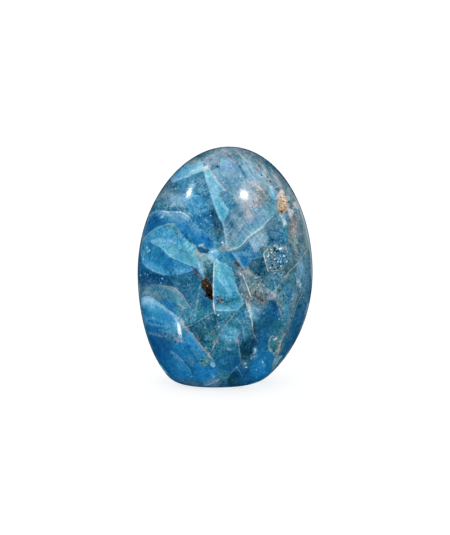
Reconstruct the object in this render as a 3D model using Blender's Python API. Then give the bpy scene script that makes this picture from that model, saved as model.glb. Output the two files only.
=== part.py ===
"""A polished freeform of blue apatite that stands on its flat ground base.

The stone is one solid. Its form is an egg, widest a little under half height, ground flatter
on its front and back than a true egg, and cut off flat where it stands.
Metres, +Z up. The origin is the middle of the base, and the face that is shown looks along -Y.
"""

import math

import bmesh
import bpy
from mathutils import Vector

MM = 0.001

# Size of the egg before its broad flats are ground, which take up to a millimetre off each side
HEIGHT = 90.2 * MM
WIDTH = 66.0 * MM
DEPTH = 47.0 * MM

# The egg: how high its widest level is, and how far it would reach below that if it weren't cut
BELLY_HEIGHT = 41.9 * MM
TAIL_REACH = 48.4 * MM

# The egg's line leans towards -X near the base and towards +X near the top
TOP_LEAN = 1.0 * MM
FOOT_LEAN = -4.2 * MM

# 2 is a true ellipse; more gives broad front and back faces with tighter shoulders
SECTION_POWER = 2.25

# Hand grinding leaves broad, barely visible flats: (direction they face, depth, breadth)
FLATS = (
    (Vector((0.25, -0.90, 0.35)), 0.8 * MM, 0.60),
    (Vector((-0.15, 0.95, -0.05)), 1.2 * MM, 0.70),
    (Vector((-0.45, 0.60, 0.65)), 0.8 * MM, 0.50),
)

# How far above the base the sides begin to turn under into it
FOOT_ROUNDING = 3.5 * MM

# Faces along each edge of the cube that the stone is shaped from
FACES_ALONG_EDGE = 26

APATITE_BLUE = (0.028, 0.180, 0.360, 1.0)
POLISH_ROUGHNESS = 0.12


def clear_scene():
    for obj in list(bpy.data.objects):
        bpy.data.objects.remove(obj, do_unlink=True)


def polished_material():
    material = bpy.data.materials.new("apatite")
    material.use_nodes = True
    shader = material.node_tree.nodes["Principled BSDF"]
    shader.inputs["Base Color"].default_value = APATITE_BLUE
    shader.inputs["Roughness"].default_value = POLISH_ROUGHNESS
    shader.inputs["Metallic"].default_value = 0.0
    return material


def sphere_direction(corner):
    """The direction of a point on a cube of side 2, spaced evenly round the sphere."""
    warped = Vector(math.tan(axis * math.pi / 4) for axis in corner)
    return warped.normalized()


def section_reach(direction):
    """How far the flattened section reaches compared with a circle, in this direction."""
    flat = math.hypot(direction.x, direction.y)
    if flat < 1e-9:
        return 1.0
    across, through = abs(direction.x) / flat, abs(direction.y) / flat
    return (across**SECTION_POWER + through**SECTION_POWER) ** (-1 / SECTION_POWER)


def ground_off(direction):
    """How deep the broad flats cut in at this direction."""
    depth = 0.0
    for facing, deepest, breadth in FLATS:
        off_axis = 1 - direction.dot(facing.normalized())
        depth += deepest * math.exp(-((off_axis / (breadth * breadth)) ** 2))
    return depth


def rounded_floor(z):
    """z, turned under into the flat base without a sharp edge."""
    if z <= -FOOT_ROUNDING:
        return 0.0
    if z >= FOOT_ROUNDING:
        return z
    return (z + FOOT_ROUNDING) ** 2 / (4 * FOOT_ROUNDING)


def stone_point(direction):
    """The point of the stone's surface that lies in this direction from the egg's middle."""
    rise = HEIGHT - BELLY_HEIGHT
    up = direction.z
    reach = section_reach(direction)
    lean = TOP_LEAN * up * up if up > 0 else FOOT_LEAN * up * up
    point = Vector(
        (
            lean + direction.x * reach * WIDTH / 2,
            direction.y * reach * DEPTH / 2,
            BELLY_HEIGHT + up * (rise if up > 0 else TAIL_REACH),
        )
    )
    point -= direction * ground_off(direction)
    point.z = rounded_floor(point.z)
    return point


def centre_on_origin(mesh):
    """Moves the mesh sideways so that its box is centred over the origin, and leaves its height."""
    for axis in (0, 1):
        places = [vertex.co[axis] for vertex in mesh.vertices]
        middle = (min(places) + max(places)) / 2
        for vertex in mesh.vertices:
            vertex.co[axis] -= middle


def make_stone():
    shape = bmesh.new()
    bmesh.ops.create_cube(shape, size=2.0)
    bmesh.ops.subdivide_edges(
        shape, edges=shape.edges[:], cuts=FACES_ALONG_EDGE - 1, use_grid_fill=True
    )
    for vertex in shape.verts:
        vertex.co = stone_point(sphere_direction(vertex.co))
    bmesh.ops.recalc_face_normals(shape, faces=shape.faces[:])
    mesh = bpy.data.meshes.new("stone")
    shape.to_mesh(mesh)
    shape.free()
    centre_on_origin(mesh)
    mesh.materials.append(polished_material())
    mesh.shade_smooth()
    return bpy.data.objects.new("stone", mesh)


def main():
    clear_scene()
    group = bpy.data.collections.new("apatite_freeform")
    bpy.context.scene.collection.children.link(group)
    group.objects.link(make_stone())


main()
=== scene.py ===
"""A polished freeform of blue apatite on a pale floor, in soft studio light.

The stone is one piece. Its form follows the same rule as the solid it stands for, at a finer
spacing. The crystals, veins and specks of the face that is shown were traced on the photograph
and are kept as outlines, lines and dots in its pixels. Each is laid on the stone as the distance
of every point of the surface from it, and the material turns those distances into colour. The
sides and back, which the photograph doesn't show, are a mosaic of crystals grown in nodes.
"""

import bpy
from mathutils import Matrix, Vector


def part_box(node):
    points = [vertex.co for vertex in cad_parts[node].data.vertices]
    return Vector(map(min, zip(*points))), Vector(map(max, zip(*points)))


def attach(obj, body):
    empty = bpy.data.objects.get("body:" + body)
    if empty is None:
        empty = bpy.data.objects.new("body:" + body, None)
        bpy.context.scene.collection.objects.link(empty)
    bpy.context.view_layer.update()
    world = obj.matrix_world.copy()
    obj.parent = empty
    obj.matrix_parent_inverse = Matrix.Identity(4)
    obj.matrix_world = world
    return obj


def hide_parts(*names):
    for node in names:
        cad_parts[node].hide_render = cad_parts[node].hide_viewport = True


bl_info = {
    "name": "Apatite Freeform",
    "version": (1, 0, 0),
    "blender": (4, 5, 0),
    "location": "View3D > Sidebar > Apatite",
    "description": "Makes a polished freeform of blue apatite and a small studio for it",
    "category": "Object",
}

import math

import bmesh
import bpy
import numpy as np
from bpy.props import FloatProperty, FloatVectorProperty, PointerProperty
from mathutils import Matrix, Vector

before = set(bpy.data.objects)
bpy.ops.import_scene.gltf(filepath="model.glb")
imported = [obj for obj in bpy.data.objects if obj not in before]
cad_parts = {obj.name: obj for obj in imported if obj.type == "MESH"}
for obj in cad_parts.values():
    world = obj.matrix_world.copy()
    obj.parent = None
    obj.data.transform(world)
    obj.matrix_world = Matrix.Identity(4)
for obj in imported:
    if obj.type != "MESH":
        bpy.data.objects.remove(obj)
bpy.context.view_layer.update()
STONE_LOW, STONE_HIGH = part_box("stone")

MM = 0.001

# The photograph: its size, and how its camera stood
PHOTO_WIDTH = 450
PHOTO_HEIGHT = 535
CAMERA_RISE = math.radians(12.0)
CAMERA_DISTANCE = 0.600
CAMERA_FOCUS_PIXELS = 1593.0
CAMERA_AIM = Vector((-0.00005, 0.0, 0.0443))
SENSOR_MM = 36.0

# Where the three small lights show on the polish
LEFT_GLINT = (189.2, 192.5)
RIGHT_GLINT = (243.9, 194.6)
LOW_GLINT = (179.2, 329.0)
RIM_GLINT = (306.0, 228.0)

TONES = {
    "ink": "#06334c",
    "navy": "#044a7c",
    "deep": "#0a69a2",
    "midnight": "#105380",
    "ocean": "#1773a7",
    "azure": "#217fb5",
    "cobalt": "#2a82c2",
    "cornflower": "#4298cd",
    "sky": "#57a3d0",
    "pale_sky": "#93c3e5",
    "ice": "#a4dcf5",
    "light_aqua": "#86c6dd",
    "aqua": "#58aed2",
    "sea": "#4fa2ca",
    "teal": "#388098",
    "deep_teal": "#1c6384",
    "dark_teal": "#184960",
    "petrol": "#2f5c70",
    "denim": "#4884a6",
    "steel": "#347399",
    "haze": "#7aa7c3",
    "pale_haze": "#94b2c8",
    "mauve": "#93a2b4",
    "slate": "#52788c",
    "grey_blue": "#66869a",
    "light_grey": "#7a98a6",
    "sage": "#699098",
    "putty": "#7f8a8a",
    "olive": "#6f8478",
    "rose": "#a39a9c",
    "cream": "#b4b3a8",
    "tan": "#c0aa9a",
    "dark_tan": "#8a6f5c",
    "rust": "#7d5a48",
    "brown": "#453a36",
    "brown_black": "#1a1a1d",
    "blush": "#c9bfc4",
    "milk": "#dde9ef",
}

# In the tables below a line that starts with a space goes on with the row above it. Places are
# "x,y" and all sizes are in pixels of the photograph. Tones with strokes between them are mixed
# in equal parts.

# Soft clouds of ground colour: place, reach across, reach down, turn, tone, weight. The haze and
# mauve cloud at 249,187 and the pale haze and blush cloud at 254,202 are partly frosted stone and
# partly a painted halo of the right glint. The sage and light grey cloud at 306,232 is a painted
# reflection of the side light along the right rim.
CLOUDS = """
163,192 6 9 -40 slate/light_grey 1
172,186 6 5 -40 slate/steel 1
187,184 9 7 -20 denim/sea 1
200,182 5 8 0 denim 1
180,191 5 3 0 petrol/denim 0.8
163,202 5 5 0 teal/denim 0.8
174,200 8 5 0 haze/pale_sky 1
191,197 6 5 -45 sea/cornflower 0.9
199,206 9 7 0 cornflower/sea 1.1
153,206 5 8 -30 denim/steel 1
172,209 12 2 0 steel/teal 1
207,197 4 8 10 denim 0.8
196,156 7 3 -20 slate/petrol 1
191,162 7 3 -15 light_grey/haze 1
210,153 7 3 0 light_grey/denim 1
226,152 7 3 0 light_grey/pale_haze 1
235,156 5 3 30 grey_blue/denim 0.8
244,153 7 3 10 light_grey/mauve 1
243,161 6 4 30 haze 1
220,178 7 8 0 haze/denim 1.1
238,174 7 8 30 haze/sky 1.1
232,190 6 6 0 denim/haze 1
252,172 6 9 -30 pale_sky 1.2
249,187 8 7 0 haze/mauve 1.2
262,181 5 8 -30 pale_haze 1
257,158 5 5 30 grey_blue/slate 1
268,165 7 5 35 slate/teal 1.1
278,177 5 7 -35 grey_blue/light_grey 1
286,187 4 8 -25 slate/light_grey 1
262,196 5 7 0 grey_blue/rose 1
254,202 6 7 0 pale_haze/blush 1.2
225,197 3.5 8 -10 denim/teal 1
230,203 3 6 0 steel/teal 0.9
269,205 6 7 0 sea/light_grey 1
237,212 6 5 0 denim 1
291,196 4 9 -15 slate/light_grey 1
297,206 3 9 -15 light_grey/mauve 1
285,219 4 6 0 teal/slate 1
293,228 3.5 10 0 rose/slate 1.1
299,228 3 8 -8 grey_blue 1
306,232 3 14 -12 sage/light_grey 1.2
302,240 3 6 0 slate 0.8
293,254 6 7 0 slate 1.1
304,262 5 7 0 grey_blue/denim 1
290,268 7 5 0 petrol/slate 1.1
308,276 4 14 0 steel/slate 1.1
307,294 3 10 8 slate 1
275,279 5 6 0 steel/slate 1
256,268 8 6 0 petrol/deep_teal 1
203,217 7 9 0 azure/steel 1.1
211,210 3 6 -15 petrol/steel 1
217,221 3 8 -15 midnight/petrol 1.1
219,232 3 4 0 slate 1
217,242 4 4 0 denim/sea 1
225,249 4 2 0 light_grey/rose 1
207,245 4 4 0 midnight/azure 0.8
214,251 5 3 0 aqua 1
206,256 4 3 0 sage/pale_haze 0.8
208,267 4 5 0 teal/deep_teal 1
197,270 3 4 0 midnight 1
201,267 2 6 -10 sea/haze 1
239,284 3 9 -15 slate/deep_teal 1.2
246,280 4 9 0 grey_blue 1.1
250,273 4 4 0 mauve/light_grey 1
257,280 6 6 0 slate/sage 1.1
256,290 6 5 0 light_grey/putty 1
252,297 5 6 0 slate/putty 1
267,286 5 6 0 slate/denim 1
272,294 4 5 0 mauve 1.1
262,298 4 4 0 rust/slate 0.8
258,306 4 5 0 grey_blue/haze 1
254,314 4 7 0 haze/sea 1
280,296 4 10 0 slate/teal 1
290,290 6 12 0 denim/slate 1
284,312 5 10 10 slate/teal 1
300,312 5 16 20 midnight/steel 1.1
266,320 8 10 0 midnight/deep_teal 1.2
277,325 5 6 0 deep_teal/teal 1
262,340 7 9 0 midnight/deep 1
291,334 5 12 25 midnight 1.1
284,349 5 9 30 midnight/steel 1
284,333 4 4 0 sage/slate 0.7
262,360 9 8 0 deep/azure 1
264,374 9 6 -20 deep/azure 1
246,376 8 7 0 midnight 1
228,384 10 4 0 midnight/dark_teal 1.2
248,333 4 8 0 steel/teal 1
254,330 3 6 0 dark_teal/slate 1
249,350 7 9 0 dark_teal 1.2
247,363 4 4 0 steel/deep_teal 0.9
222,350 9 8 0 deep_teal/teal 1
230,361 8 8 0 deep_teal/ocean 1.1
218,362 5 6 0 steel/ocean 0.9
222,374 6 5 0 steel/teal 0.8
229,335 8 7 0 denim/sea 1
224,318 7 5 0 teal/steel 1
240,312 4 5 0 steel/sea 0.9
212,322 4 8 0 deep_teal 1
203,330 8 8 0 deep_teal/dark_teal 1.1
208,345 6 7 0 deep_teal/slate 1
203,314 5 4 0 teal/sea 1
204,301 5 6 0 midnight/ocean 1.1
199,290 2.5 6 10 teal/ocean 1
188,314 5 7 0 denim/sage 1
192,323 5 5 0 deep_teal/slate 1
187,284 9 8 0 steel/deep_teal 1.1
190,298 5 7 0 steel 1
172,281 7 5 0 deep_teal/midnight 1.1
152,279 10 5 0 navy/midnight 1.4
140,288 3 8 0 midnight/slate 1
170,327 8 4 15 sea/denim 1
151,327 6 5 30 deep 1.3
172,336 6 3 10 denim/grey_blue 0.9
156,343 9 7 40 navy/navy/deep 1.4
166,361 11 9 40 navy/deep/deep 1.5
182,347 6 6 -35 deep/azure 1.1
186,340 4 4 0 denim/azure 0.9
192,360 4 5 0 azure/slate 0.9
182,367 6 8 -30 azure/deep 1
192,373 5 5 0 deep/midnight 1
206,373 9 6 0 deep/azure 1.2
196,385 14 4 0 slate/midnight 1.3
213,382 6 3 0 slate/mauve 0.8
264,382 14 3 -20 navy/dark_teal 1.1
166,232 16 7 0 sea 0.8
160,220 14 6 0 ocean 0.8
160,260 20 9 10 ocean 1
139,250 3 12 0 steel 1
160,293 12 5 20 slate/haze 1
158,312 12 8 20 azure 1
"""

# Grain: place, reach across, reach down, frost, glitter, fibre. Glitter is painted sparkle: bright
# specks that stand for light caught by cracks inside the stone, with small dark pits among them.
GRAIN = """
192,205 16 16 1.1 0 0
206,200 8 20 1.2 0 0
176,190 14 10 0.8 0 0
172,202 14 5 0.7 0 0
192,161 10 5 0.6 0 0.3
188,173 12 6 0.5 0 0
212,160 9 7 0.6 0 0.3
226,166 8 8 0.7 0 0.2
224,184 10 8 1 0 0.2
214,190 6 16 0.25 0 0.2
244,172 12 14 0.9 0 0.8
262,172 12 14 0.8 0 1
276,178 10 12 0.7 0 0.8
252,200 14 10 1 0.1 0.5
240,218 12 10 0.7 0 0.6
256,228 12 8 0.5 0 0.3
272,208 8 8 0.6 0 0.3
282,202 5 10 1 1.2 0
296,206 6 10 1 0.3 0
280,232 8 10 0.8 0 0
294,232 8 16 0.9 0.1 0.5
306,232 4 16 0.4 0 0.3
277,258 10 11 1 2.64 0
296,258 8 12 0.7 0 0.3
306,280 5 20 0.5 0 0.2
292,290 10 16 0.8 0 0.3
256,256 12 8 0.6 0 0
246,256 8 5 0.4 0 0
246,282 10 12 0.8 0.1 0.3
258,290 9 9 1 1 0.2
270,286 8 12 1 0.2 0
280,306 8 14 0.9 0.1 0
252,314 8 10 0.8 0.1 0
268,322 10 12 0.25 0 0
298,330 10 24 0.2 0 0.3
276,344 6 10 0.8 0.3 0
262,366 12 10 0.2 0 0
248,350 8 12 0.25 0.1 0
226,362 12 10 0.25 0 0
222,340 14 10 0.8 0.2 0
204,332 10 12 0.8 0.2 0
190,320 8 10 0.8 0.1 0
230,318 12 7 0.7 0.1 0
228,284 10 18 0.75 0.1 0.2
224,300 8 6 0.6 0.4 0
206,304 6 8 0.5 0 0
188,290 12 12 0.75 0.1 0
152,280 12 6 0.55 0.15 0
164,294 14 8 0.6 0.1 0.3
158,314 14 10 0.35 0 0.3
170,328 10 5 0.7 0.1 0
150,330 8 6 0.1 0 0
160,354 16 14 0.05 0 0.3
178,340 8 5 0.6 0.1 0
194,350 8 12 0.4 0 0.2
184,366 10 8 0.25 0 0.2
204,372 10 6 0.2 0 0
212,384 30 3 0.3 0 0
205,360 6 6 0.9 0.2 0
165,219 18 6 0.7 0 0
184,222 8 7 0.9 0 0
198,238 10 10 0.25 0.1 0
212,228 8 10 0.8 0 0
165,231 12 6 0.6 0 0
178,250 14 8 0.6 0.1 0.1
162,262 18 8 0.45 0 0
147,250 5 6 0.3 0.4 0
212,254 7 6 0.6 0.1 0
206,268 6 6 0.7 0.2 0
"""

# The crystals, from the lowest to the one on top of the others: name, tone at one end, tone at the
# other, the way the second tone lies in degrees clockwise from the right, softness of the edge,
# strength of the pale line inside the edge, outline
CRYSTALS = """
sky_blade sky/cornflower light_aqua/pale_sky 0 0.6 0.25 170.5,179.5 172,182 174.5,182.3 177,181 180,179.5
 184,178 188,176.5 193,174 198,172.8 201,171.5 203.5,170 203.5,167 202,163 199,161 197,163 196,164.5 190,165
 184,165.5 181,167 177,171 173,175.5 170.5,178.5
small_aqua light_aqua/aqua light_aqua 0 0.7 0.2 197,161.5 200,160.3 203,162.5 203.3,165.5 199,165.5 197,164
lilac_top pale_haze mauve/haze 0 0.9 0.15 203,160 206,157 210,154.5 215,154.5 219.5,157 220,166 216,167
 210,168.5 206,165 204,163
low_block haze/pale_sky denim/haze 90 0.8 0.3 211,171 214,169.3 217,168.6 222,168.6 228,170 231,172 232,178
 233,185 229,190 226,190 222,186 217,180 213,174
sky_block pale_sky/sky haze/pale_haze 40 0.7 0.3 220.3,158.5 223,157 226,158 228,160 231,162 233,164 236,165
 238,167 236,172 237,177 233,178 231,172 229,169 226,170 220,169
blade_teal denim/haze denim/sea 60 1.5 0 218,193 226,190.5 230,192 233,197 234,202 232,208 229,210 226,205
 222,200
fan denim/haze haze/sea 0 0.7 0 219,212 222,216 226,217 229,211 233,207 239,205.5 246,207 254,207 262,208
 270,210 276,211 276,214 270,218.5 268,220.5 264,225 262,228 258,231 254,233.5 250,236 247,239 244,243 241,246
 236,248.5 231,250.3 228,250 226.3,247 225.5,240 224,231 222,222
long_blade light_aqua/aqua aqua 80 0.6 0.3 203.5,170 205,176 206.5,182 208.5,188 210.5,194 212.5,200 214.5,206
 217,213 220,219.5 221.7,222 224,221 226,217 228.3,213 229,210 226,205 223,201 221,197 219,192.5 222,191
 226.3,191 224.5,189 222,186 219,183 216,179 213,174 210,169 207,166.3
little_sky light_aqua/ice light_aqua/aqua 90 0.5 0.3 271.5,185 273,187 273.5,191 275,195 276.5,199 274.5,200
 272.5,199.5 271,196 269.5,192.5 269,189 269.8,186.5
small_hollow slate/light_grey slate 0 0.8 0 275.3,187.8 277,186.8 279,187.5 279.4,190 277.5,191.3 275.5,190.5
right_teal_blade haze/light_grey light_grey 90 0.8 0.4 285.5,192 288,187 291,186 292,190 293,196 292,200 289,199
 287,196
right_pale blush/cream pale_haze 90 0.9 0.2 293,203 296,201.5 299,204 300.5,207.5 298,209 296,208 294,208.5
 293,206
right_dark denim/grey_blue grey_blue 0 1.2 0 294.5,209.3 297,209.3 300,210.3 300.5,214 297,214.8 294.3,213.5
tan_patch tan/cream tan 90 0.6 0 281,189 283,190 285,193 286.5,196 287.5,200 288.5,204 289,208 288,210.5
 285.5,211 284,213 282,214.5 280,214 278,211 277,208 277,203 278,199 278.5,195 279.5,191.5
right_white milk/pale_haze blush/pale_haze 90 0.8 0 288.5,209.5 290,209 292,210 294,211 293.5,214 292,217
 290,218 289,215 288.3,212
white_cap milk/cream blush 90 0.7 0 276,196.5 277,194.5 278,193 280,191.5 283,192 283.5,194 282,196 280,196
 278.5,198.5 276.5,198.5
slate_kite denim/grey_blue steel 60 0.7 0.15 276,214.5 279,216 281,219 283,223 284,226 288,226 288.8,230
 288.5,236 287,243 283,244.5 278,244 270,244 268,241 268,236 265.5,232.5 263,230 265,226 270,219.5
white_tail haze/ice light_aqua/milk 90 1.2 0 279.5,215 281,214.6 283,215 284,216.5 285,218 285.2,220 286.3,221.5
 287.2,225 285.8,224.3 284,225.5 283,222 282,219.5 281,218
sage_patch sage sage/light_grey 90 1.4 0 290,237 293,235.5 296,236 298,239 297,243 293,245 291,242
right_dark_low petrol/slate petrol/slate 90 1.4 0 298.5,235 301.5,234 303.5,236 304.5,242 301,244 298.5,241
arch deep cornflower/sky 10 0.7 0.2 144,236 146,228 148.5,219 150,216 152,213.5 155,212 159,211 163,210.5
 168,211.5 173,211.5 178,212 183,212.5 186,214 189,217 191,219.5 192,224 188,230 184,236 178,238 160,238 148,238
middle_lens cobalt/azure azure/deep 60 1 0.1 178,226 181,222.5 186,220.5 191,219.8 195,225 200,229 205,233
 210,238 214,244 214,248 209,248 205,244.5 201,244.5 196,246 192,244 188,241 184,237 181,232
arc sea/azure sea -20 0.7 0.2 143,240 146,236 149,233 153,230 157,227.5 161,226 165,225 169,223 173,223.5
 175,226 177,229 179,232 181,236 180,238 176,239.5 168,240 158,240 150,241.5 145,243
dark_wedge midnight/deep midnight/deep_teal 0 1 0 196,246.3 199,247 202,247.3 206,247.5 210,250 208.5,252.5
 206,254 201,252.5 197.5,249.5
lens azure/ocean azure/ocean 0 0.6 0.2 141,247 144,243 148,241.5 151,242 155,244.5 159,247.5 163,251 166,254
 170,258 175,261 180,263 186,265 191,267 194,268.5 192,270.3 188,272 183,273.5 175,274.5 168,274.8 163,275
 158,273.3 154,271.5 150,269.5 146,267 143.5,264.5 141.7,261 140.7,257 140.3,252
leaf sea sea 25 0.6 0.25 150,241 155,239 160,238 165,238.5 170,239.5 173,240 176,236.5 180,236.5 184,239 188,242
 192,244 195,245.5 197,249 199,253.5 198.3,256 199.5,259 198,263 197,268.5 194,267 190,265.5 185,263.5 180,261.5
 175,259.5 170,257 166,253 163,250 160,247 156,244.5 152,243
leaf_foot light_aqua/haze sky/haze 90 0.8 0.1 197.5,262 200,261 202.5,263 203.5,268 204,273 203.5,277 200,273
 197,268.5
cream_fan cream/sea sage/aqua 90 1.1 0 198.5,254 201,252.8 205,253.3 209,255.5 208.3,259 205.5,261 202,262
 199.8,259.5 199.7,257
pale_middle sky/light_aqua sky 60 1 0 208,252 211,250 213.5,249.6 215,248 218,250.5 219.5,253.5 218,255.5
 216,256.5 215,258 212,257.5 211,259.5 209,257.5 209.5,255
dark_triangle teal dark_teal 80 0.8 0.2 203,262.5 206,261.5 209,262 213.3,263.5 213.5,272 213.5,287 210,284
 207,280 204.3,278.3 204,272 203.5,267
low_arch denim/slate teal/sea 20 0.7 0.15 140,298 142,294 144.5,291 149,289.5 151,287 150.5,284.5 155,284
 160,285 166,286.5 172,286.8 176,289 180,292.5 183,295.5 185.5,299.5 187,303 188.5,306 191,308 194,311 196,315
 198,319 192,323 186,323 180,319 176,316 170,312 162,306 154,300 147,297
low_leaf sea azure/cornflower 0 0.6 0.15 139.3,304 140,302 141,299 144,297 148,296.5 151,297 154,299.5 158,302
 162,305 166,308.5 170,311.5 173,313.5 176,315.5 178,320 179.5,327 179,333 176,331.5 170,328.5 164,327 160,326.5
 157,326 152,325 148,323 143,320.5 140.5,312
glint_side cream/pale_haze haze 90 0.9 0 179.5,318 181.5,318 184,322 186,327 187,330 184.5,330.7 182.5,329
 181,324
left_of_vein deep_teal/steel teal 90 0.6 0.15 200,285 199,289 198.5,293 197,300 196,306 195,311 197,317 200,320
 205,317 212,313 213.5,311 213.5,300 209,298 205,296.5 203,290
dark_field deep_teal/petrol deep_teal/teal 40 0.8 0 187,328 190,326 195,323 199,321 203,318.5 208,315.5
 212,313.5 215,313 217,320 216,328 216.5,336 213,344 209,353 205,350 201,345 197,339 192,333
brown_inclusion brown_black/brown/brown_black brown_black 60 0.45 0 201.3,281.5 202,279.5 203.2,280 205,278
 206.5,277.7 208,280 209.5,281.3 210,283 211.5,285 212.2,287.5 213,289 213,300.5 211.5,300 210,299 208.5,297.8
 207,297 205.5,297.3 204.5,296.5 206,294.5 206.5,293 205,291.5 203.5,290 202.5,288.2 201.5,288 201.2,285.5
 202,284
light_aqua_top aqua sea 90 0.6 0.15 214.3,262 215,259.5 216.3,258 218,260 221,262.5 226,263.5 229,265.5 232,268
 234,276 236,284 238,290 241,296 244,300.5 242,305 239,309 237.5,311 228,311 217,311 215,310 213.8,300 213.5,290
 213.7,277
blue_patch azure/denim azure 20 0.7 0.1 217,257 219,254 223,252 227,250.5 231,252 233,255 234,258 235,262
 231,261 227,259 223,261 221,263 219,261.5
blue_crest steel/azure steel/azure 60 0.7 0.15 231,251 235,250 240,249.5 245,246 248,242 250,241 252,246 253,250
 254,253 259,253 263,254 263.5,257 261,259 256,258.3 252,260 248,264 246,267 243,268 240,265 237,261 234,257
crest_shade steel/petrol petrol/deep_teal 0 1.7 0 257,258.5 262,257 264,262 267,270 268.5,275 262,276.5
 256,274.5 250,270 248,265 252,260
pale_wedge pale_sky/pale_haze haze 10 1.6 0.05 249,240 252,238 256,236 262,232 266,234 268,238 268,242 266,246
 262,248 259,249 258,252 255,253 253,250 252,246 250,243
notch slate/haze slate 90 0.8 0 258,246.5 262,246 266,247 267,249 264,251 260,250.3
crest_star brown/rust brown 30 0.6 0 234,262 235.5,261.8 236.5,260.7 237.5,262 239.5,263 240.3,264.8 238.8,265.3
 238,266.3 236.8,265 235,264.3
hexagon slate/haze slate/denim 30 0.8 0 270,245.3 274,244.5 281,245 286,244 291,245.5 291,250 290,256 288.5,261
 285,266 281,270 275,271 268,270.5 266.5,266 265,260 263.5,254 266,250
rim_blue denim/slate steel/slate 90 1.4 0 303,266 306,262 311,260 313,270 312.5,284 310,298 307,303 304,298
 303,290 301.5,283 302,274
light_tooth denim/haze denim/haze 90 0.9 0.1 296.5,266 299,262 302,259.5 304,262 303,270 302,277 299.5,279
 297,274
slate_blades slate/teal denim/slate 60 0.9 0.1 277.5,290 280,285.5 283,281 287,276.5 292,272.5 295.5,273 298,279
 301.5,286 300.5,292 298,298 295.5,303 293,311 291,318 289,323 286,328 283,322 281,315 279.5,306 278,298
left_blades denim/slate denim/teal 90 1.1 0 269,273 275,272.5 280,273.5 283,276.5 280,282.5 277,288 273,292
 270,291 268,284
lilac_patch haze/pale_haze haze/mauve 90 1.1 0 296,279 299,278.5 301.5,284 300,288 297,287
navy_drop midnight/steel ocean/midnight 90 0.9 0 268,301 271,300 274,299.5 276,302.5 277.5,306 278,310 280,315
 281,321 276,320 270,316 264,315 264.5,308
under_trapezoid teal/steel teal/steel 60 0.8 0.1 215.5,313 224,311.8 233,311.3 239,309.5 243,305 245.5,302
 246,306 244,313 246,319 243,326 238,330 232,326.5 227,324 222,330 218.5,334 216.5,328 216,320
sky_blue_chip ocean/steel ocean/steel 0 1.2 0 238,314 240,312.5 243,312.8 244.7,315 243,318.7 240,319 238.3,317
sky_patch sea/teal sea/teal 60 1 0 223,329 226,326 229,326.5 233,328.5 236,330 237,334 236.5,337.5 234,340
 231,341.5 228,340.5 225,337.2 222.5,334.5
blue_teal teal/deep_teal midnight/ocean 60 1 0.05 212,356 213,349 216,343.5 220,341 225,341 230,343 235,343.5
 237.5,347 239.3,353 240.3,360 239.5,366 236,368.5 232,371 226,371 220,369 216,364 214,360
round_drop denim/teal denim/teal 90 1.1 0 204,337.5 206.3,335.5 209,336 210.5,339 209,341.3 206,341.7 204.2,340
sky_strip cornflower/azure denim/azure 60 1.1 0 184,337 186.5,333 189,331.5 191,332 195,338 199,343 201,346
 204.5,350.5 208,355.5 207,358 203,358.5 200,361 198,360 195,354 191,348 187,342
blue_strip deep/azure ocean 60 1.2 0 181,341 185,341.5 189,347 193,353 197,359.5 199,364 196,368 192,363.5
 189,357 184,350 180.5,345
sage_fan teal/teal/sage sage/teal 30 1.7 0 199,362.5 201,359.5 204,358 207.5,356.5 210.5,358 213,361 215,364
 213,365.5 210,366 205,366.3 200,365.5
fan_light pale_sky pale_sky/sky 0 0.8 0 210,362.5 212,361.5 214.3,363.5 215.5,366.5 213,367.5 210.5,365.5
shard azure/steel azure 50 1.5 0 170,351.5 172,350.5 175,353 179,357 182,360 186,365 190,370 191,373 188,373.5
 183,371 178,368 174,362 171,356
round_blue azure/deep deep/azure 90 1.5 0 197,366.5 201,365.5 206,367 211,366.5 214.5,368.5 216.5,373 215,377
 211,379.5 206,382 199,382 195,378 194,371
bottom_band ocean/slate steel -40 0.6 0.2 203,385.5 207,383.5 212,381 216.5,379 219.5,379.3 219,382 216.5,384.3
 212,385.7 206,386.4
dark_roof dark_teal dark_teal/midnight 0 1.4 0 228.5,377 231,373.5 234,370.5 236,371 238.5,375 241,380 240,384.5
 234,386 228.5,385.5
navy_crystal ink/midnight ink/dark_teal 90 2.2 0 240,346 243,341 247,340.5 250,338 254,338.5 256.5,342
 255.5,346.5 253,350 252.5,356 250,360 245,359 241.5,357
bright_bay deep/ocean deep/azure 60 2.2 0 254,360 258,355.5 263,355 268,358.5 272,360 272,366 269,370 265,374
 258,378 253,376 251,370 252,364
olive_crystal slate/teal teal/teal/slate 60 0.6 0.7 270.5,336.5 272.5,335 275,336 279,334.8 283,333 284.5,334
 283.5,338 281.5,343 280,348 278.5,352.5 277.5,356 275.5,357 273,355.5 271.5,352 269,350 268,347.5 268.3,342.5
 269,339
olive_tail teal/haze slate/sage 90 0.7 0.4 275.5,356.8 278,356 282.5,355.5 279.5,360 277,364 275,368 272,370.5
 272.3,366 273.5,361
"""
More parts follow.
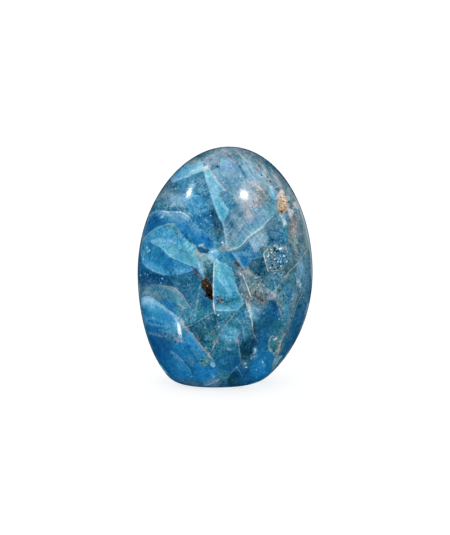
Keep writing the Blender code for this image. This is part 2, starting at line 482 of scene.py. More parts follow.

# Washes of colour, under the crystal that they stay in, or "ground" under all crystals, or "over"
# all: tone, reach, opacity, line or dot. The "over" washes round 244.3,194.8 and 247,199 and from
# 236,197 to 240,202 are a painted halo of the right glint. Those round 190,192, from 187,198 to 189,195
# and from 191.3,184.5 to 190,188 are painted glow of the left glint. Those from 175,320 and 178,318
# down to 182,341 are painted glow of the low glint. The other "over" washes are pale marks of the
# stone. The light grey "ground" washes from 302.5,222 to 307.5,246 and from 305.5,218 to 309,232
# are a painted reflection of the side light along the right rim.
WASHES = {
    "ground": """
tan/light_grey 1 0.4 187,164 194,162.6 201,160.2
light_grey/haze 0.9 0.3 190,160.8 197,158.6
petrol/slate 1.2 0.5 186,163.8 192,161.2
slate/denim 1.6 0.6 228,156.5 234,158
pale_haze/blush 1 0.5 223,153.5 227,158 235,161.5
pale_haze 1.5 0.6 216,151.5 222,154
denim/teal 1.8 0.7 238,162 242,170 246,177
pale_sky/haze 2.2 0.7 246,163 252,172 258,180
pale_haze 2 0.7 238,176 243,177
teal/slate 1.6 0.7 253,156 258,163 262,169
grey_blue/tan 1.3 0.6 256,158 260,164
petrol 1.2 0.5 249,153 256,161
haze 1.4 0.6 262,165 268,176 271,183
cream/pale_haze 1 0.55 243,157 251,168 255,174
petrol/steel 1 0.55 246,152 254,163 258,171
pale_sky/pale_haze 1.2 0.55 256,166 262,176 266,184
cream/milk 1.2 0.55 222,150.5 227,151.5
cream/haze 0.9 0.6 228,153 234,159 240,164
dark_teal/steel 1.1 0.5 265,162 273,172 280,184
rose/dark_tan 1.3 0.55 257,168.5 259.5,172
tan/light_grey 1 0.6 262,164 266,172 269,179
steel/slate 1.8 0.6 266,165 273,176
milk/tan 2.2 0.55 253,182 256,185 259,188
pale_haze/blush 2 0.75 275,176 280,185
light_grey/pale_haze 1.4 0.5 285,175 290,184 293,190
steel/teal 1.6 0.6 252,186 256,192
rose/slate 2.5 0.5 258,192 264,200
teal/slate 1.6 0.6 266,192 268,200
pale_haze/haze 1.3 0.6 166,196 172,194.5
pale_haze/haze 1.2 0.7 171,205.5 176,204.5 182,205
steel/slate 1.4 0.5 160,198 165,201
denim/teal 1.6 0.5 180,201 183,203
midnight/steel 1.3 0.5 184,203.5 192,204
olive/teal 1.4 0.6 183,208 187,213
teal/slate 1.6 0.5 289,201 291,207
rose/cream 1.2 0.5 293,219 294.5,227 293.5,234
petrol/slate 1.6 0.5 300,222 301,231
light_grey/pale_haze 1.2 0.4 302.5,222 305,235 307.5,246
light_grey/sage 1.6 0.3 305.5,218 309,232
rose/cream 1.3 0.45 296,247 296.5,253
deep_teal/dark_teal 3.4 1 301,298 297,308
steel/denim 2 0.6 301,262 300,272
sea/teal 1.8 0.5 215.5,246 219,250 222,252
pale_haze/haze 0.8 0.45 143,321.5 150,325 158,327
deep 4 0.8 147,327 152,329
ocean/sea 3.2 0.6 166,329 173,332
haze/slate 1.2 0.5 148,333 156,334.3 163,337
mauve/denim 2.2 0.7 175,338 178,340
denim/sage 3 0.6 189,325 192,329
steel/denim 2.4 0.7 233,270 235,278
blush/mauve 1.5 0.6 237,273 241,274
mauve/blush 3 0.35 241,271.5 248,272
teal/slate 1.8 0.5 250,283 253,288
petrol/slate 1.6 0.6 261,276 265,279
mauve/milk 1.6 0.5 271,291.5 275,296
tan/dark_tan 1.3 0.6 276,299.5 278,304
rust/putty 1.6 0.6 256,297 261,300
tan/putty 1.6 0.5 250,292 255,291
rose/slate 1.6 0.5 264,301 267,304
pale_haze/milk 1.2 0.6 248,303 250,311 252,317
sea/haze 2.2 0.6 255,309 257,318
petrol/dark_teal 2.2 0.75 254,324 255,334
haze/slate 2.4 0.4 236,331 239,338
pale_haze/tan 1.8 0.6 235,338 237,341
tan/sage 2.2 0.5 213,336 216,341 219,342.5
pale_haze/teal 1.2 0.5 243,329 244,338
tan/pale_haze 1.6 0.7 202,346 205,349.5 208,352.5
pale_haze/sage 1.6 0.6 209,355 213,361
dark_tan/denim 1.7 0.5 190,357.5 193,363
midnight/navy 1.6 0.6 186,362 191,369 195,375
cornflower 1.8 0.4 187,374.5 191.5,376.5
slate/denim 1.8 0.5 222,376 226,382
midnight/ocean 4 0.6 245,372 252,378
mauve/denim 1.3 0.45 243,362 245,367
petrol/sage 1.5 0.5 241,344 243,349
sage/olive 1.8 0.5 281,340 282,347 279,353
grey_blue/denim 2 0.3 288,332 290,336
slate/putty 1.2 0.3 287,327 289,331
denim/haze 1.8 0.5 187,181 193,181
denim/ocean 2.4 0.6 194,207 200,209
deep_teal/teal 3 0.9 217,237 219,246
pale_haze 2.2 0.8 252,156 256,163
deep/ocean 2 0.7 158,327 165,330
steel/ocean 1.8 0.6 168,335 172,337
sea 1.8 0.6 228,262 232,264
slate/petrol 3.2 0.6 254,303 262,306
slate/petrol 2.6 0.55 258,292 263,294
slate/petrol 2.2 0.7 247,292 249,295
aqua/haze 1.8 0.6 211,260 213,264
haze/pale_haze 2 0.8 264,227 267,229
light_grey 2.4 0.75 301,243 303,247
midnight 3 0.9 140,279 140,284
midnight/deep 2.6 0.6 264,351 267,356
slate/petrol 1.8 0.6 264,258 267,262
teal/steel 2 0.5 228,343 233,342
petrol/slate 1.6 0.6 307,250 309,254
denim 2 0.5 187,213 190,216
petrol/slate 2 0.6 264,298 267,303
teal/petrol 1.8 0.5 240,334 244,337
haze/light_grey 1.8 0.7 144,240 148,239
steel/slate 2 0.5 216,219 219,222
pale_haze/light_grey 1.6 0.6 283,213.5 286,216
""",
    "over": """
milk 2 0.75 204.5,168.5 207.5,167
milk/ice 1.2 0.4 203,165 204,171
milk/pale_sky 6.4 0.88 244.3,194.8
pale_haze/mauve 9 0.42 247,199
pale_haze 2.4 0.5 236,197 240,202
pale_sky 2.6 0.55 187,198 189,195
pale_sky/haze 3.2 0.4 190,192
milk/ice 0.8 0.7 199,245.7 203,244.6
milk/ice 0.8 0.6 202.5,246 205,248
pale_haze/milk 0.8 0.4 177,304 180.5,305.2 184,307.7
pale_sky/mauve 1.8 0.6 180.5,337 182,341
pale_sky 2.3 0.6 178,318 180,328
mauve/tan 1.6 0.45 186,327 188.5,331
sky/ice 1.4 0.7 255,348.5 255.2,351.5
haze/sky 2 0.5 255,350 254.5,357.5
denim/mauve 1.2 0.5 251,358.5 252.5,355
pale_sky 2.4 0.6 191.3,184.5 190,188
ice 2.2 0.75 211,255 213,259
pale_sky 2.6 0.55 181,202 184,203
pale_sky 2 0.55 175,320 176.5,326
""",
    "sky_blade": """
haze 2.5 0.7 173,180 175,178
cornflower/sea 1.8 0.5 182,167.5 196,166.5
ice/pale_sky 2.8 0.85 191,171.5 197,170 203,168.5
pale_sky 1.1 0.6 174,181.5 184,177.6 193,173.7 201,171.3
ice 2.2 0.4 192,171.3 203,168.6
pale_sky/mauve 1.6 0.6 172.5,180 176,180
""",
    "lilac_top": """
steel/denim 2 0.8 213,166 219,166
haze 2.2 0.5 214,155 219,158
slate 1.2 0.2 209,160 214,162
""",
    "sky_block": """
pale_sky 2.2 0.7 222,160 224,164
pale_sky/ice 0.9 0.5 220.8,159 220.8,168
""",
    "low_block": """
pale_sky/haze 1.2 0.6 212,170.5 217,169.3 226,169.6
denim 3 0.5 226,180
""",
    "long_blade": """
light_aqua/ice 1.5 0.75 204.5,171 208.8,187 213,200 217.5,212 221,221
light_aqua/pale_sky 3.2 0.7 210,184 215,194 217,199
sea/aqua 3 0.85 217,202 221,210
sea/teal 1.4 0.8 222,213 223,217
ice/light_aqua 2 0.8 223,204 227,210
milk/light_aqua 1.1 0.8 212,174 217,181 222,187 226,190.5
sage/haze 1.3 0.35 208,179 212,182
haze 2.4 0.6 219,189 221,187
ice/light_aqua 2.4 0.5 206,175 209,184
""",
    "blade_teal": """
steel 2.5 0.3 229,200 230,206
""",
    "fan": """
mauve/haze 2 0.7 244,216 236,226 228,238
mauve/pale_haze 1.9 0.45 248,218 243,224 236,233 229,243
haze 3.5 0.7 257,222 260,226
light_aqua/haze 3 0.6 263,226 254,231.5 247,236
milk/ice 1.1 0.7 268,220.5 262,227.5 254,233 247,238.3 241,245.3 231,249.8
steel/deep_teal 4.4 0.9 227,219 231,225
slate/denim 2.6 0.85 230,234 232,244
sea/teal 2.3 0.7 238,246 244,239
pale_haze/blush 4.6 0.9 246,207 250,216
haze 4.5 0.8 269,210 264,218
denim/slate 3.2 0.9 235,211 241,215
light_aqua/ice 1.4 0.7 221,217 224.8,237 226.5,247
steel/denim 2 0.5 241,228 238,233
haze/mauve 3 0.45 256,210 264,214
slate/denim 2.2 0.6 235,219 237,223
denim 2.2 0.5 247,225 249,229
denim/haze 2 0.5 246,231 249,234
""",
    "tan_patch": """
rust/brown 1.3 0.55 279,211 282,213 284,210
dark_tan/tan 1.4 0.3 286,209 288,206
dark_tan 1 0.15 280,200 282,203 280,207
milk/tan 1.2 0.6 283,197 285,202
milk/cream 2 0.8 281,191 283,194
""",
    "slate_kite": """
deep_teal/midnight 3 0.25 271,241 275,238.5 278.5,242
sea/teal 2.8 0.6 285,233 284,239
grey_blue/haze 2 0.3 270,226 275,222
steel/ocean 2.5 0.6 276,231 281,236
haze/grey_blue 2.2 0.5 270,224 273,229
steel/teal 2.4 0.6 283,225 285,231
""",
    "arch": """
haze/pale_sky 2.6 0.75 160,213 170,214 180,214.5 188,219.5
cornflower/haze 4 0.85 174,218 182,222 186,228
deep/midnight 4.2 0.7 151,222 158,221
aqua/ice 1.2 0.6 161,217.5 163,216.5
""",
    "middle_lens": """
ocean/midnight 2.6 0.75 184,232 187,238 192,242
azure/cobalt 3 0.6 202,238 208,243
cornflower/haze 3.4 0.5 190,224 198,231
haze/cornflower 3 0.2 182,222 190,224 196,230
cornflower/azure 2.6 0.6 198,238 203,241
""",
    "arc": """
azure/sea 3 0.6 163,229 169,231 172,235
haze/teal 2.6 0.5 148,237 153,233
sea/ocean 3 0.6 158,236 152,238
teal/olive 1.3 0.6 174,227 178,234
teal/slate 2.2 0.6 165,226.5 172,226 178,231
light_aqua/aqua 2.2 0.8 175,237 178,239
""",
    "lens": """
azure/ocean 5 0.5 163,260 172,265
sea/denim 3.4 0.8 146,248 144,254
sky/cornflower 2.2 0.8 143,257 146,262 151,266.5
sky/pale_sky 1.4 0.7 145,264.5 151,268.8 157,272 163,274
cornflower/sea 3.2 0.75 150,264 158,269 166,272
sky 3.4 0.9 176,270.5 188,269.5
teal/azure 3.5 0.5 154,250 158,256
cornflower/azure 2.6 0.6 176,263 184,266 190,268
""",
    "leaf": """
pale_sky/sky 1.8 0.8 152,241.3 160,240.3 170,241.3 175,242.5
teal/sea 3.4 0.75 172,246 180,250.5 190,257
teal/olive 1.3 0.4 180,250 186,255 192,261
light_aqua/aqua 2 0.75 160,246 165,251 171,256 178,260 187,264 196,267.5
light_aqua 2 0.6 186,244 193,251 197,258
light_aqua/haze 2.6 0.5 170,247 176,253
pale_haze/sage 2 0.6 195,251 198,256 197.5,262
tan/sage 1.2 0.5 196.5,250 198.5,255
cream/tan 1 0.6 197,250 199.5,256
""",
    "leaf_foot": """
ice/pale_sky 1.2 0.6 198,263 200.5,269 203,276
""",
    "dark_triangle": """
teal/grey_blue 2.6 0.7 205,268 209,265
ink/dark_teal 3 0.8 211,274 211,281
dark_tan/petrol 1.5 0.5 205,275 206,278
""",
    "pale_middle": """
milk/ice 1 0.5 211,251.5 216,250.5
""",
    "low_arch": """
light_grey/rose 1 0.55 166,287.6 174,290 180,294.3 184.5,300.3
denim/haze 4 0.7 152,289 160,290
olive/dark_tan 1.8 0.3 153,293 158,295 164,298.5
ocean/deep 4.4 0.9 165,301 171,306
slate/steel 3.6 0.6 180,305 184,312 188,317
sea/sage 3.2 0.6 172,293 178,299
haze 2.2 0.3 191,312 194,318
teal/steel 3 0.7 152,287.5 160,292 166,295
deep/azure 2.4 0.8 169,309 174,312
haze/light_grey 2 0.6 144,292 148,293
teal/steel 2.4 0.7 187,315 190,320
""",
    "low_leaf": """
pale_sky/sky 3.6 0.95 143,302.5 147,301 152,302.5
pale_sky 1.9 0.7 144,299 150,299.5 158,304 166,310 173,315 177,318
cornflower/sky 2.6 0.35 156,307 165,313 172,319 176,326
azure/ocean 4.6 0.9 144,311 149,315
azure 4.5 0.7 156,314 164,318
haze/sea 2.4 0.7 163,324 170,326.5 176,330
azure/ocean 2.5 0.5 146,320 152,323
deep/ocean 2.2 0.85 150,321 158,323 164,325
""",
    "left_of_vein": """
midnight/deep 3.4 0.9 204,300 206,306
haze 0.8 0.5 199.5,288 198,296 196.5,306 196,311
sea/teal 2.5 0.15 199,314 208,313
aqua/teal 1.3 0.25 200,290 201,295
deep_teal/ocean 2.4 0.6 204,310 208,312
""",
    "brown_inclusion": """
rust/brown 1.6 0.35 203,281.5 206,283 208.5,285.5
rust/brown 1.1 0.5 205,297 208,298.2 211.5,300
rust 0.8 0.25 207,279.5 209,282.5
brown 1.2 0.25 204,287 207,290
brown_black 1.8 0.5 208,292 211,297
""",
    "dark_field": """
teal/slate 3 0.6 205,321 209,317
dark_teal 3.2 0.7 202,333 200,339 203,343
sea/teal 2 0.5 196,327 200,324
teal/sage 2.2 0.5 212,330 212,340
haze 1 0.5 204.5,324 206,328
dark_tan/slate 1.4 0.55 197,337 199.5,342
denim/teal 2.4 0.6 206,344 208,349
""",
    "light_aqua_top": """
ice/light_aqua 1.8 0.75 214.5,262 216.5,259.5 219,263
light_aqua 3 0.9 217,267 219,274
ice/light_aqua 1 0.7 218,277 224,285.5 231,296
sea 3.4 0.75 228,272 232,284 235,292
sea/teal 3 0.7 218,288 222,294
teal 4.4 0.9 219,302 230,302 238,299
teal 2.4 0.8 225,303 231,300
light_aqua/aqua 2.2 0.5 219,307 228,307.5 235,306
ice/light_aqua 0.9 0.8 217,310.3 237,310.3
cornflower/azure 2.4 0.8 233,307.5 236,306.5
light_aqua 1.4 0.6 225,266 230,275 234,286
rust/mauve 2 0.55 218,298 221,301
denim/haze 2 0.5 215.5,300 216,306
milk/light_aqua 1 0.6 236,288 239,293 243,298.5
sea/teal 1.4 0.6 221,265 227,276 231,288
teal/sea 1.4 0.5 215.5,284 218,292
sea/teal 2 0.5 229,273 231,277
teal/steel 2.2 0.8 226,305 233,305
teal/sea 2 0.5 223,290 226,294
""",
    "blue_patch": """
sky/cornflower 1.6 0.6 219,256 224,253
midnight/deep 2 0.6 232,256 233,259
sea 2 0.5 222,256 226,258
""",
    "blue_crest": """
sky/haze 2.2 0.7 237,253.5 244,253.5 250,254.5
cobalt 2.2 0.6 240,259 246,262
haze/ice 1 0.6 231.5,251.7 236.5,257.5 243,267
midnight/steel 1.8 0.5 247,246.5 250,250
pale_sky/sky 2 0.8 235,255 238,259
""",
    "crest_shade": """
mauve/grey_blue 2 0.25 254,262 257,264
ink/deep_teal 2.2 0.2 262,262 265,269
""",
    "pale_wedge": """
tan/cream 1.3 0.4 261,239 265,241
pale_sky/pale_haze 2.2 0.7 254,239 252,244
""",
    "hexagon": """
slate/light_grey 2.4 0.6 270,252 274,257
mauve/pale_haze 2 0.75 280,248.5 285,247
azure/steel 3 0.6 280,254 284,259
dark_teal/petrol 1.8 0.6 276,250 279,253
petrol/slate 1.8 0.4 270,262 276,266
light_grey 1.8 0.6 276,268 280,269
""",
    "rim_blue": """
haze/denim 1.5 0.4 304,270 303.5,282
midnight/steel 1.6 0.5 310,268 311,284 308.5,296
""",
    "slate_blades": """
petrol 1.5 0.65 288,277 290,284
steel/cobalt 3 0.6 287,287 288,298
light_grey 1.3 0.5 281,288 282,300
teal/sea 2.2 0.6 286,306 286,316
haze/slate 1 0.45 292,276 294,286 293,300
petrol/slate 1.2 0.45 296,281 297.5,290
grey_blue/mauve 2 0.5 295,293 292,306
teal/petrol 2.4 0.9 283,297 285,302
light_grey 1.4 0.6 295,274 298,279
deep_teal/teal 2.2 0.7 283,320 285,326
""",
    "left_blades": """
midnight/steel 2.4 0.7 277,277 277,283
petrol/slate 1.4 0.5 271,279 272,286
""",
    "navy_drop": """
denim/slate 1.4 0.5 270,302 267,307
steel/teal 1.6 0.6 278,315 279,319
""",
    "under_trapezoid": """
sea/haze 2 0.5 222,314 230,313.5
deep_teal 2.6 0.6 226,320 231,322
haze/sage 1.2 0.5 237,319 241,323
teal/slate 2 0.6 218,318 219,326
sea/teal 2.2 0.6 234,322 238,325
""",
    "sky_patch": """
haze/sea 1.6 0.5 226,329 231,332
ice 0.9 0.3 225.5,337.2 228.5,340 231,341
teal/sea 1.6 0.6 229,340 232,341
""",
    "blue_teal": """
haze/sea 1.6 0.6 228,349 230,350
steel/denim 3 0.5 219,346 224,349
dark_teal 1.8 0.5 229,352 231,353
denim/cornflower 2.6 0.5 222,362 226,365
midnight/deep_teal 3.4 0.75 234,355 236,361
dark_teal 2 0.5 224,366 229,365
""",
    "sky_strip": """
cornflower 1.8 0.3 193,343 198,351 201,356
haze 1.2 0.5 190,333 195,340 200,347
cornflower/azure 2.2 0.5 189,338 193,347
""",
    "blue_strip": """
deep/midnight 1.6 0.6 189,349 193,354 197,360
denim 1.5 0.5 190,357 193,362
""",
    "shard": """
denim/azure 2.2 0.6 181,364 187,369
slate/mauve 1.5 0.5 177,356.5 181,359.5
haze/denim 1.4 0.6 171.5,351.5 174,353
""",
    "round_blue": """
cornflower/sky 1.6 0.4 204,378
sky/cornflower 2 0.5 212,374 213,378
midnight/deep 2 0.5 198,375 196,379
""",
    "bottom_band": """
mauve/cream 1.2 0.2 213,382.5 217,380.5
""",
    "navy_crystal": """
deep_teal 2.4 0.3 248,347 249,343
teal/slate 1.4 0.5 244,356 247,358
""",
    "bright_bay": """
sky/cornflower 1.7 0.7 262,361 264,365.5
azure/cobalt 2.4 0.6 259,366 264,371
midnight/deep 2.4 0.5 266,361 269,366
""",
    "olive_crystal": """
dark_teal/teal 2.8 0.65 274,340 273,345
haze/milk 1.1 0.6 274,339.5 277,337.8
tan/olive 1.2 0.85 280.5,342 278.5,348 277.5,352
sage/haze 1.5 0.2 272,351 275,354
teal/petrol 1.6 0.55 272,344 274,350
haze/sage 0.9 0.6 277,336.5 279.5,341
petrol/olive 1.4 0.5 278,350 277,354
""",
    "olive_tail": """
tan/sage 1 0.6 280.5,357.5 277.5,362 275.5,367
""",
}

# Veins: tone, half width, strength, line. The light grey vein from 302,222 to 308,248 and the sage
# and light grey vein from 302,220 to 308.5,248 are a painted reflection of the side light along the
# right rim.
VEINS = """
milk 0.5 0.85 209,168.5 213,174 217,180 221,185 226,190.5
milk 0.6 0.95 161,211.3 164,210.9 168,212.2
milk 0.8 0.95 176,212 180,212 184,213.4 188,216.5
olive 0.5 0.5 208.5,167 211.5,171.5 214,175
haze 0.4 0.5 203,159.5 204,164
ice 0.4 0.45 172,182 180,179.4 188,176.2 193,174 200,172.2 203,170.5
ice 0.4 0.5 203.7,171 206.5,182 210.5,194 214.5,206 217,213 221,222
pale_sky 0.5 0.7 150,215.5 153,212.8 159,211 163,210.5 168,211.5 178,212 183,212.5 187,214.8 191,219.5
pale_sky 0.4 0.5 191,219.5 195,225 200,229 205,233
pale_haze 0.5 0.7 143,240.5 149,233 157,227.5 165,225 169,223 173,223.5
olive 0.6 0.6 173,224 177,229 180,235
pale_haze 0.4 0.55 180,236.5 188,242 195,245.5 197,249 199,253.5
pale_sky 0.4 0.5 150,241 160,238 172,240 176,236.5
cream 0.4 0.5 196,249 199,255 200,262 203,266 205,270
pale_sky 0.5 0.5 152,243 160,247 166,253 170,257 180,261.5 190,265.5 196,268.5
pale_sky 0.5 0.45 141.5,260 146,267 154,271.5 163,275
sky 0.4 0.5 163,275 175,274.6 184,273.5 190,271.3
olive 0.5 0.6 205,270 207.5,266 210,262
cream 0.6 0.55 160,285 166,286.3 172,286.8 176,289 180,292.5 183,295.5 187,303 191,308
pale_sky 0.6 0.7 141,299 144,297 148,296.5 151,297 158,302 166,308.5 173,313.5 177,316.5
haze 0.4 0.6 200,285 198.5,293 196,306 195,311
haze 0.5 0.85 187,328 195,323 203,318.5 208,315.5 213,312.7
milk 0.8 0.95 214.3,262 213.6,277 213.3,290 213.5,300 214,308 215,313
ice 0.4 0.5 217,311 228,311.2 237,311
cream 0.5 0.7 245,302 241,306 236,312 231,318 227,323 223,329 220,334
cream 0.5 0.55 220,334 217,340 212,350 209,354
milk 0.6 1 243,275 245,281 247,286 249,291 250.5,296
milk 0.8 0.75 246,301 247,306 249,311 250.5,316 252,321 252.5,327
cream 0.5 0.5 252.5,327 253,333 255,337 257,340.5
milk 0.45 0.8 229,250.5 236,248.6 241,246 247,239 254,233.5 262,228 268,220.5 272,217
milk/cream 0.55 0.95 270,245.3 266,250 263.5,254 265,260 266.5,266 268,270.5
cream 0.5 0.9 309,248.5 305,253 302,257 296,265 292,269 288,273
cream 0.5 0.8 288,273 283,280 279,285 276,289 273,292
haze 0.4 0.55 295,272 298,278 300,284 302,288
cream 0.5 0.6 260,162 265,171 268,177 270.5,182.5
pale_haze 0.7 0.7 191,332 195,338 199,343 201,346
cream 0.8 0.65 201,346 205,351 209,355
pale_haze 0.6 0.65 209,355 212,359 215,364
pale_haze 0.6 0.6 237,337 238.5,343 239.3,350 240.3,357
dark_tan 0.5 0.55 240.3,357 241,361 240,365
haze 0.5 0.65 243,327 244,337 245,341
slate 0.7 0.7 228,377 231,373.5 234,370 237,368
haze 0.5 0.5 237,368 240,372 242,376
rust 0.5 0.5 279.8,343 278.5,348 277.5,353
haze 0.5 0.5 171,352 175,353 179,357 182,360 186,365 190,370
dark_tan 0.5 0.5 302,288 300,294 297,300 295,305 293.5,311 292,315
dark_tan 0.5 0.5 292,315 290,321 288,326 286,331 284,334
pale_haze 0.5 0.35 303,290 301,296 298,302 295.5,309 293,317 290,325
light_grey 0.8 0.6 302,222 305,235 308,248
mauve 0.8 0.55 239,202 242,207 244,210
cream 0.6 0.7 226,234 226.7,246
haze 0.5 0.5 217,243 221,246 225,248
brown 0.9 1 193.5,270 195.5,271.7 197,274.5
cream 0.5 0.5 268,270.5 275,271 281,270 284,267.5
cream 0.5 0.5 278,306 279.5,310 281,315
haze 0.4 0.5 251,258.5 256,257.7 262,256
ice 0.4 0.5 220.5,159 220.4,167.5
pale_haze 0.5 0.4 220,159 228,160.5 234,163.5
cream 0.4 0.5 218.5,194 220,196.5 222,200
mauve 0.5 0.5 163,226 168,224.5 172,223.7
cream 0.5 0.5 248,270 244,269.7 241,272
ice 0.5 0.6 214.3,262 216.3,258.3 218.5,261.5 226,263.5
haze 0.5 0.5 232,268 234,276 236,284 238,290
cream 0.7 0.6 197,250 201,257 203,262 206,272
cream 0.5 0.6 209,259 212,257.4 216,256 219,253.5 222,251
milk 0.7 0.7 222,246 224,244.5 226,243
sage 0.5 0.7 270.5,336.5 269,340 268.3,345 269,350 271.5,353 274,356
tan 0.6 0.6 283.5,335 281,341 279.5,348 278,354
cream 0.6 0.6 206,385.3 212,383.4 216,381.5 219,379.3
mauve 1.2 0.55 247,210 241,218 233,227 227,236
pale_haze 1.1 0.5 252,214 246,222 239,230 231,241
steel 0.7 0.5 243,214 236,221 230,228
steel 0.7 0.45 256,219 249,228 240,240
pale_haze 1 0.6 236,150 243,158 249,166
cream 0.6 0.6 245,153 251,162 257,170
petrol 0.8 0.6 250,153 256,162 262,171
pale_haze 1 0.6 253,160 260,171 266,181
slate 0.9 0.6 240,150 247,159
steel 0.8 0.5 259,158 266,167 272,176
pale_haze 0.7 0.5 268,168 275,178 281,188
slate/petrol 0.7 0.6 297,221 299,232 301,243
petrol 0.7 0.6 302,225 304,236 305,246
ice 0.5 0.5 263,235 259,241 257,248
pale_sky 0.5 0.5 267,238 263,244 259,249
slate 0.6 0.4 260,235 256,240 254,247
sage/light_grey 0.8 0.5 302,220 304,230 306,240 308.5,248
cream 0.6 0.5 292,216 293.5,226 293,236
rose 0.8 0.6 295,219 296,230 295,240
slate 0.8 0.55 290,222 290.5,232 290,240
haze 0.7 0.5 228,151 238,160 246,171
slate 0.6 0.5 232,150 241,158 250,169
petrol/slate 0.6 0.5 238,164 244,172 250,181
pale_sky 0.7 0.5 246,168 252,177 258,186
slate 0.6 0.45 251,170 257,179 262,188
pale_haze 0.6 0.5 264,160 271,169 277,179
petrol 0.6 0.5 272,165 279,175 285,186
pale_haze 0.6 0.45 282,176 288,186 292,196
pale_haze 0.6 0.5 260,212 251,221 243,232 236,243
slate 0.6 0.4 264,214 256,224 247,235
mauve 0.7 0.45 239,211 232,218 226,226
brown/rust 0.9 0.85 193.3,270 195.5,272.5 198,275
slate/light_grey 1.2 0.45 262,156 272,164 281,173 289,184 296,196 301,208
"""

# Specks: tone, then for each its place, reach across, reach down and turn
DARK_SPECKS = """
petrol 217,166.3,1.6,1 261.5,175,0.7,0.9 251.5,301.5,0.7,0.7 294.8,251.8,0.7,0.7 170.6,350.2,0.8,0.8
 257.8,194,0.7,0.8 232,196.5,0.6,0.9,-30 252.5,207.5,0.6,0.6 187,186,0.7,0.6 209,231,0.7,0.7 271.4,262.4,0.9,0.9
 285.4,253.2,0.8,0.9 248.6,284.6,0.9,0.8 257.6,294.2,0.9,0.7 253.6,299.8,1,0.8 266.6,279.2,0.9,0.8
 216.6,300.6,0.7,0.9 286.6,257,0.9,1.6,30 269.5,257,0.8,1.6
brown 270.3,181.5,0.8,1.3,-25 267.7,177,0.7,1,-25 242,269.7,1,0.6,-20 245.6,269.5,0.8,0.6,10
 217.6,296.8,0.8,1.2,-20 219.5,299.8,1,0.8,30 221.6,301,0.6,1,-30 255.5,291.5,0.7,0.8 260.3,297,0.7,0.7
 253,295.5,0.7,0.5 274.4,269.3,0.8,0.7 286.3,271.3,1,1.1 291.2,245,0.8,0.6,30 277.4,250.4,0.6,0.6
 283,334.3,0.9,0.7,-20 200.5,340,0.6,1.1,15 182.3,315,0.9,0.6,20 189.5,318.2,0.7,0.8 173,270,0.8,0.7
 198.6,277,0.6,0.8 256.7,340.6,0.7,1.2 293,205.6,0.5,1.3,-10 283.3,201.5,0.6,0.8 279.5,205.5,0.5,0.7
 281.5,211.6,1.2,0.8 239.3,265.8,0.7,0.7 262.7,281.6,0.7,0.7 262.6,300.4,0.7,0.7 219.2,302.4,0.8,1
 218.4,301.2,0.8,0.8 222.4,300.2,0.5,0.9,-30 200.3,278.6,1.7,1.1
dark_tan 257.3,170,0.8,1.1,-25 193.3,362.3,0.8,0.8 214,333.8,0.9,1.4,-30 213,341.5,0.8,0.8 218.3,324,1,0.6
 252,338,0.6,0.8 280.6,197.5,0.6,0.6 285.3,204.6,0.6,0.6 262,191.5,0.7,0.6 259.5,200.5,0.6,0.6
rust 266.5,181,0.6,0.7 222.8,298.8,0.6,0.6 258,298.4,1.2,0.8,25 265.6,302.7,1,0.8,30 269.3,271.3,0.9,0.8
 272,246.3,0.8,0.5 162.7,331.8,0.6,0.5 176.3,341,0.6,0.6 181.3,343.4,0.8,0.5 220.5,333.3,1.2,0.8
 200.7,278,1.3,0.9,-20 206.4,351.3,0.8,0.8 248.4,299.4,0.8,0.7 152.7,290.8,0.7,0.6 232.5,271,0.5,0.5
slate 217,304,1,1.4 220.4,296.2,0.9,0.9
dark_teal 250,289.5,0.9,1.5 165.3,333.7,0.8,1.3,-25 163.5,338.3,1.3,0.7,20 175.2,342.2,0.9,1.1
 172.7,337.6,0.7,0.9 172,355.5,1,1.1 198,362.8,0.9,1.3 201.2,361.2,1,1 202,343.8,1.2,0.9 210,351.6,1,0.8,-30
 164.5,347.5,1,0.8 277,189.2,1.2,1.3 206,216,0.7,0.7 243.7,358.7,0.8,0.8 275.8,251.6,0.9,1.1 279.3,263.6,0.8,0.9
 273.5,249.5,1,1.6,20 279.6,252.2,0.8,1.6,-20 277.5,262.2,0.9,1.3 283,259.6,0.7,1.3
brown/rust 300,293.5,0.6,1.1,20 296,301.2,0.9,0.8,-30 292.6,314.3,0.7,1.1,15 289,325,0.7,1.1,15
 285.3,331.7,0.8,0.9 217.2,303.4,0.7,1.1
olive 168.5,340,1.4,0.5,30 203.3,365.5,0.9,0.7 216,339,0.8,0.8 228.2,321,0.7,0.7 184,308.6,1,0.9
 166.6,270.6,0.7,1.7,-35
"""
